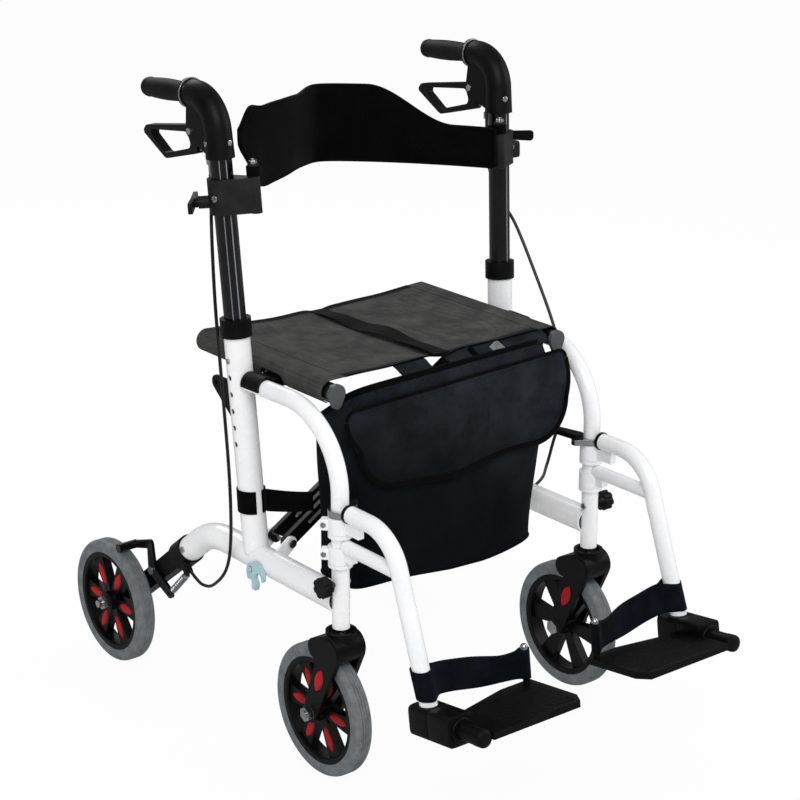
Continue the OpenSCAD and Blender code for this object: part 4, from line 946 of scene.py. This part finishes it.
BARREL, LOOP_R = (-29, -36), 9.3
for side, sign in SIDES:
    turn, rows = grid(np.linspace(0, TAU, 41), np.linspace(566, 580, 7))
    ring = np.stack([LOOP_R * np.cos(turn) + BARREL[0], LOOP_R * np.sin(turn) + BARREL[1], rows], -1)
    ring = mirrored(on_upright(ring), sign)
    middle = ring[:-1].mean(0)
    hold = pad_line(np.array([sign * 205.0]))[0][0]
    root = middle + LOOP_R * unit((hold - middle) * (1, 1, 0))
    tongue = root + np.linspace(0, 1, 13)[:, None, None] * (hold - root) * (1, 1, 0)
    build(f"{side}_pad_loop", [ring, tongue], "tape", f"{side}_handle", "pad_cover", thick=1.8)

# Red inlays on the wheels and the caster forks

def leaf_dome(length, width, rise):
    """Dome over a pointed oval: two equal arcs bound it, and its height falls as an ellipse to each edge."""
    r = (length ** 2 + width ** 2) / (4 * width)
    along = length / 2 * np.linspace(-1, 1, 25)[:, None]
    half = np.sqrt(r * r - along ** 2) - (r - width / 2)
    w = np.linspace(-1, 1, 13)[None, :]
    height = rise * np.sqrt(1 - w ** 2) * np.sqrt(2 * half / width)
    return along + 0 * w, half * w, height


def laid_leaf(base, outwards, centre, angle, shape):
    """A leaf dome on a face square to X: its long way turned by an angle from +Y towards +Z."""
    along, across, height = shape
    c, s = np.cos(angle), np.sin(angle)
    y = centre[0] + along * c - across * s
    z = centre[1] + along * s + across * c
    return np.stack([base + outwards * height, y, z], -1)


WHEELS = (("rear", 279, (386.5, 100)), ("caster", 245, (-130, 100)))
PETAL, SHIELD = leaf_dome(39.6, 14.4, 2.2), leaf_dome(40, 18, 2.2)
SHIELD_WAY = np.arctan2(-114, 47)
for side, sign in SIDES:
    for name, base, middle in WHEELS:
        leaves = []
        for k in range(6):
            a = k * TAU / 6
            spot = (middle[0] + 45 * np.cos(a), middle[1] + 45 * np.sin(a))
            leaves.append(laid_leaf(base, 1, spot, a, PETAL))
        build(f"{side}_{name}_inlays", leaves, "red_inlay", f"{side}_{name}_wheel", "rim_plastic", sign)
    faces = [laid_leaf(LEG_X + way * 25.5, way, (-153.5, 160), SHIELD_WAY, SHIELD) for way in (-1, 1)]
    build(f"{side}_fork_inlays", faces, "red_inlay", f"{side}_caster", "black_moulding", sign)

# Heel straps: webbing looped round the hanger's leg and the footplate's heel post

HEEL_POST = (-168, 13)
ROUND_LEG, ROUND_POST, STRAP_RUN = 14.2, 6.4, 170.0


def strap_skin(across, rise):
    """A loop of webbing seen from above, carried up its height. It goes round the leg, is sewn flat, and
    goes round the post. Across runs round the loop from 0 to 2, the far layer from 1 on, and rise runs from
    the lower edge to the upper."""
    layer = np.where(across > 1, -1, 1)
    t = np.where(across > 1, 2 - across, across)
    low = 206 - 17 * ease(t) + 2.5 * np.sin(7 * t + 1)
    high = 246 - 17 * ease(t) + 2.5 * np.sin(6 * t) + 6 * ease((t - 0.75) / 0.25)
    z = low + (high - low) * rise
    leg = np.stack([LEG_X + 0 * z, -288 - (421 - z) * 0.3679, z], -1)
    post = on_foot(np.stack([HEEL_POST[0] + 0 * z, HEEL_POST[1] + 0 * z, z - 179], -1))
    post[..., 2] = z
    place = -ROUND_LEG + t * (STRAP_RUN + ROUND_LEG + ROUND_POST)
    past = place - STRAP_RUN
    round_leg = np.sqrt(np.maximum(ROUND_LEG ** 2 - place ** 2, 0))
    round_post = np.sqrt(np.maximum(ROUND_POST ** 2 - past ** 2, 0))
    wide = np.where(place < 0, round_leg, 1 + (ROUND_LEG - 1) * (1 - ease(place / 26)))
    opened = 1 + (ROUND_POST - 1) * ease((past + 15) / 15) * (past > -15)
    wide = np.where(past > 0, round_post, np.maximum(wide, opened))
    point = leg + (post - leg) * (place / STRAP_RUN)[..., None]
    bow = 14 * np.sin(np.pi * np.clip(place / STRAP_RUN, 0, 1))
    bow = bow + 3 * np.sin(2 * TAU * t) * np.sin(np.pi * t) * (rise - 0.3)
    point[..., 1] += layer * wide + bow
    point[..., 2] = z
    return point


half_way = 0.5 - 0.5 * np.cos(np.pi * np.linspace(0, 1, 61))
loop_way = np.concatenate([half_way, 1 + half_way[1:]])
TIP = [(0, 7), (3.4, 6.4), (5.4, 4), (5.9, 1), (5.9, -3), (5, -3.2)]
for side, sign in SIDES:
    skin = mirrored(strap_skin(*grid(loop_way, np.linspace(0, 1, 13))), sign)
    strap = build(f"{side}_heel_webbing", [skin], "navy_tape", None, "bag_fabric", thick=1.8)
    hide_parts(f"{side}_heel_strap")
    skin[20, 6] * MM
    skin[52, 6] * MM
    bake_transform(strap)
    tip = turned(TIP, on_foot((*HEEL_POST, 55)), FOOT_AXES[:, 2])
    build(f"{side}_heel_tip", [tip], "bright_metal", f"{side}_footplate", sign=sign)

# Footrest hinges: square mouldings round the block and the sleeve, a ring and the pin's end cap

FOOT_SQUARE = 21.8
TOE_WAY = -FOOT_AXES[:, 1]
COLLAR = [(12.4, 0), (17, 0), (18, 1), (18, 4), (17, 5), (12.4, 5)]
PIN_CAP = [(0, 1.6), (8, 1.4), (10.6, 0.4), (12.6, -2), (12.6, -14), (12, -14.4)]


def square_bar(y0, y1, half):
    """Square bar along the footrest hinge: a square with round corners, cosine and sine to a low power,
    carried along the hinge. Its two ends draw in over a small round edge."""
    turn = np.linspace(0, TAU, 65)[None, :]
    y = np.array([y0, y0, y0 + 0.4, y0 + 1.5, y1 - 1.5, y1 - 0.4, y1, y1])[:, None]
    size = half + np.array([-half, -1.5, -0.4, 0, 0, -0.4, -1.5, -half])[:, None]
    x, z = size * spow(np.cos(turn), 0.3), size * spow(np.sin(turn), 0.3)
    return on_foot(np.stack([x, y + 0 * turn, z], -1))


for side, sign in SIDES:
    sleeve = [square_bar(-45.8, -0.3, FOOT_SQUARE), turned(COLLAR, on_foot((0, -45.4, 0)), TOE_WAY)]
    build(f"{side}_foot_sleeve", sleeve, "black_moulding", f"{side}_footplate", sign=sign)
    block = [square_bar(0.2, 39.8, FOOT_SQUARE), turned(PIN_CAP, on_foot((0, -95, 0)), TOE_WAY)]
    build(f"{side}_foot_block", block, "black_moulding", f"{side}_hanger", sign=sign)

# Brakes: spring and inner wire between the cable stop and the arm

SPRING_NUT = [(0, 8), (4.5, 8), (5.6, 7), (5.6, 1), (4.5, 0), (0, 0)]
for side, sign in SIDES:
    first, last = np.array(CABLE_END, float), np.array((252.0, 250.5, 152.0))
    way = unit(last - first)
    steps = np.linspace(0, 1, 30)[:, None]
    core = tube(first + (last - first) * steps, 0.9, 8)
    frame_axes = basis(way)
    turns = np.linspace(0, 1, 361)
    angle = TAU * 15 * turns
    round_wire = np.outer(np.cos(angle), frame_axes[0]) + np.outer(np.sin(angle), frame_axes[1])
    coil = tube(first + np.outer(22 + 50 * turns, way) + 5 * round_wire, 0.85, 6, beside=way)
    nut = turned(SPRING_NUT, first + 13 * way, way, hexagon=True)
    wire = build(f"{side}_brake_spring", [core, coil, nut], "bright_metal", None, sign=sign)
    mirrored(first, sign) * MM
    mirrored(last, sign) * MM
    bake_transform(wire)

# Screws, nuts, rings and clamps

# Each outline is a list of radius and height pairs
BARREL_NUT = [(0, 7.5), (2.8, 7.5), (3, 6.5), (3, 5), (5.6, 5), (6.4, 4.2), (6.4, 0), (0, 0)]
GRIP_RING = [(20.6, -0.8), (21.9, -0.6), (22.3, 0.6), (21.9, 1.8), (20.6, 2)]
FERRULE = [(3.6, 0), (3.9, 1), (3.9, 9), (3.2, 10), (2.4, 10)]
HANGER_RING = [(12.6, 0), (13.5, 0.6), (13.8, 3), (13.5, 5.4), (12.6, 6)]
EAR_NUT = [(0, 3.4), (3.6, 3.4), (4.2, 2.8), (4.2, 0), (0, 0)]
POST = np.array((LEG_X, -174, 0))
EAR_WAY, EAR_SIDE = unit(np.array((0.72, 0.69, 0))), np.array((-0.69, 0.72, 0))
for side, sign in SIDES:
    metal = []
    for x, y in ((19.6, 4.5), (-4.5, -19.6)):
        metal.append(screw_head(on_upright((x, y, 614)), upright_way((x, y, 0)), 4.2, 1.8))
    metal.append(screw_head(on_upright((20.7, -7.6, 538)), upright_way((20.7, -7.6, 0)), 4.6, 1.8))
    metal.append(turned(BARREL_NUT, on_upright((*BARREL, 583)), upright_way((0, 0, 1)), hexagon=True))
    metal.append(turned(GRIP_RING, on_upright((0, 58, 678)), upright_way((0, 1, 0)), 64))
    metal.append(turned(FERRULE, on_upright((0, 28, 556)), upright_way((0, 0, 1)), 24))
    if side == "left":
        shell = soft_block(on_upright((27, 2, 533)), (9, 12, 13), 0.3, UPRIGHT_AXES.T)
        build("left_clamp_block", [shell], "clamp_plastic", "left_handle", "black_moulding")
    build(f"{side}_handle_screws", metal, "bright_metal", f"{side}_handle", sign=sign)
    bolts = [screw_head((257.2, 202.5, 242.7), (1, 0, 0), 5, 2.4)]
    bolts.append(screw_head((224.1, -174, 312), (-1, 0, 0), 5, 2.2))
    if side == "right":
        bolts.append(screw_head((264.3, 9, 278), (1, 0, 0), 4.6, 2))
    build(f"{side}_frame_screws", bolts, "bright_metal", f"{side}_frame", sign=sign)
    ring = turned(HANGER_RING, (LEG_X, -193, 421), (0, -1, 0), 40)
    build(f"{side}_hanger_ring", [ring], "black_moulding", f"{side}_hanger", sign=sign)
    ears, pins = [], []
    for z in (400, 356):
        knuckle = POST + (0, 0, z)
        for k in (-1, 1):
            ears.append(soft_block(knuckle + 21 * EAR_WAY + 4.2 * k * EAR_SIDE, (6.5, 2.6, 8.5), 0.4,
                                   np.stack([EAR_WAY, EAR_SIDE, (0, 0, 1)])))
        pins.append(screw_head(knuckle + 23 * EAR_WAY - 6.6 * EAR_SIDE, -EAR_SIDE, 4, 2))
        pins.append(turned(EAR_NUT, knuckle + 23 * EAR_WAY + 6.6 * EAR_SIDE, EAR_SIDE, hexagon=True))
    build(f"{side}_knuckle_ears", ears, "white_frame", f"{side}_hanger", sign=sign)
    build(f"{side}_knuckle_bolts", pins, "bright_metal", f"{side}_hanger", sign=sign)

# Strap round the right upright to the bag's rear corner

UPRIGHT_AT, STRAP_R, STRAP_Z, STRAP_HALF = (239.8, 37.8), 20.4, 373, 17
turn, rows = grid(np.radians(np.linspace(-75, 255, 61)), np.linspace(-1, 1, 9))
loop = np.stack([UPRIGHT_AT[0] + STRAP_R * np.cos(turn), UPRIGHT_AT[1] + STRAP_R * np.sin(turn) + 1.1 * rows,
                 STRAP_Z + STRAP_HALF * rows], -1)
run, rows = grid(np.linspace(0, 1, 21), np.linspace(-1, 1, 9))
tail = np.stack([226 - 42 * run, 20 - 58 * run - 6 * np.sin(np.pi * run) + 1.1 * rows,
                 STRAP_Z + 6 * run + (STRAP_HALF - 3 * run) * rows], -1)
build("bag_side_strap", [loop, tail], "tape", "right_frame", "bag_fabric", -1, thick=1.8)

# Seams of the seat

seams = []
for u in (-181, 181):
    way = np.linspace(SLING_Y[0] + 13, SLING_Y[1] - 13, 90)
    seams += stitches(sling_sheet(np.full(90, float(u)), way) + (0, 0, 0.9), (0, 0, 1))
for y in (SLING_Y[0] + 14, SLING_Y[1] - 14):
    way = np.linspace(-192, 192, 120)
    seams += stitches(sling_sheet(way, np.full(120, float(y))) + (0, 0, 0.9), (0, 0, 1))
seat_sewing = build("seat_sewing", seams, "thread", None, "seat_fabric")
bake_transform(seat_sewing)

# Floor, backdrop and light

def studio():
    """White floor and surroundings that the camera sees as plain white, lit by soft lamps."""
    ground = bpy.data.meshes.new("floor")
    reach = 30.0
    corners = [(-reach, -reach, 0), (reach, -reach, 0), (reach, reach, 0), (-reach, reach, 0)]
    ground.from_pydata(corners, [], [(0, 1, 2, 3)])
    floor = placed("floor", ground)
    paper = bpy.data.materials.new("floor_paper")
    paper.use_nodes = True
    tree = paper.node_tree
    tree.nodes.remove(tree.nodes["Principled BSDF"])
    start = Wire(tree)
    matt = start.add("BsdfDiffuse", None, {"Color": (0.86, 0.86, 0.86, 1)})
    white = start.add("Emission", None, {"Color": (1, 1, 1, 1), "Strength": 1.0})
    grey = start.add("Emission", None, {"Color": (1, 1, 1, 1), "Strength": 0.25})
    near = start.add("MixShader", None, {0: start.ray("Camera") * 0.94, 1: matt, 2: white})
    both = start.add("MixShader", None, {0: start.ray("Glossy") * 0.85, 1: near, 2: grey})
    tree.links.new(both.socket, tree.nodes["Material Output"].inputs["Surface"])
    ground.materials.append(paper)
    world = bpy.data.worlds.new("studio")
    bpy.context.scene.world = world
    world.use_nodes = True
    sky = Wire(world.node_tree)
    plain = sky.ray("Camera").math("MAXIMUM", sky.ray("Transmission"))
    back = world.node_tree.nodes["Background"]
    back.inputs["Color"].default_value = (1, 1, 1, 1)
    level = plain * 0.3 + 0.7 - sky.ray("Glossy") * 0.5
    world.node_tree.links.new(level.socket, back.inputs["Strength"])
    lamps = (("key_lamp", (-1.6, -2.4, 2.9), 1.7, 52), ("fill_lamp", (2.6, -1.4, 1.8), 2.0, 22),
             ("back_lamp", (0.5, 2.6, 2.4), 1.8, 24))
    for name, place, size, power in lamps:
        light = bpy.data.lights.new(name, "AREA")
        light.shape = "DISK"
        light.size = size
        light.energy = power
        aimed(name, light, place, (0, 0, 0.45))


studio()
bpy.context.scene.view_settings.view_transform = "Standard"
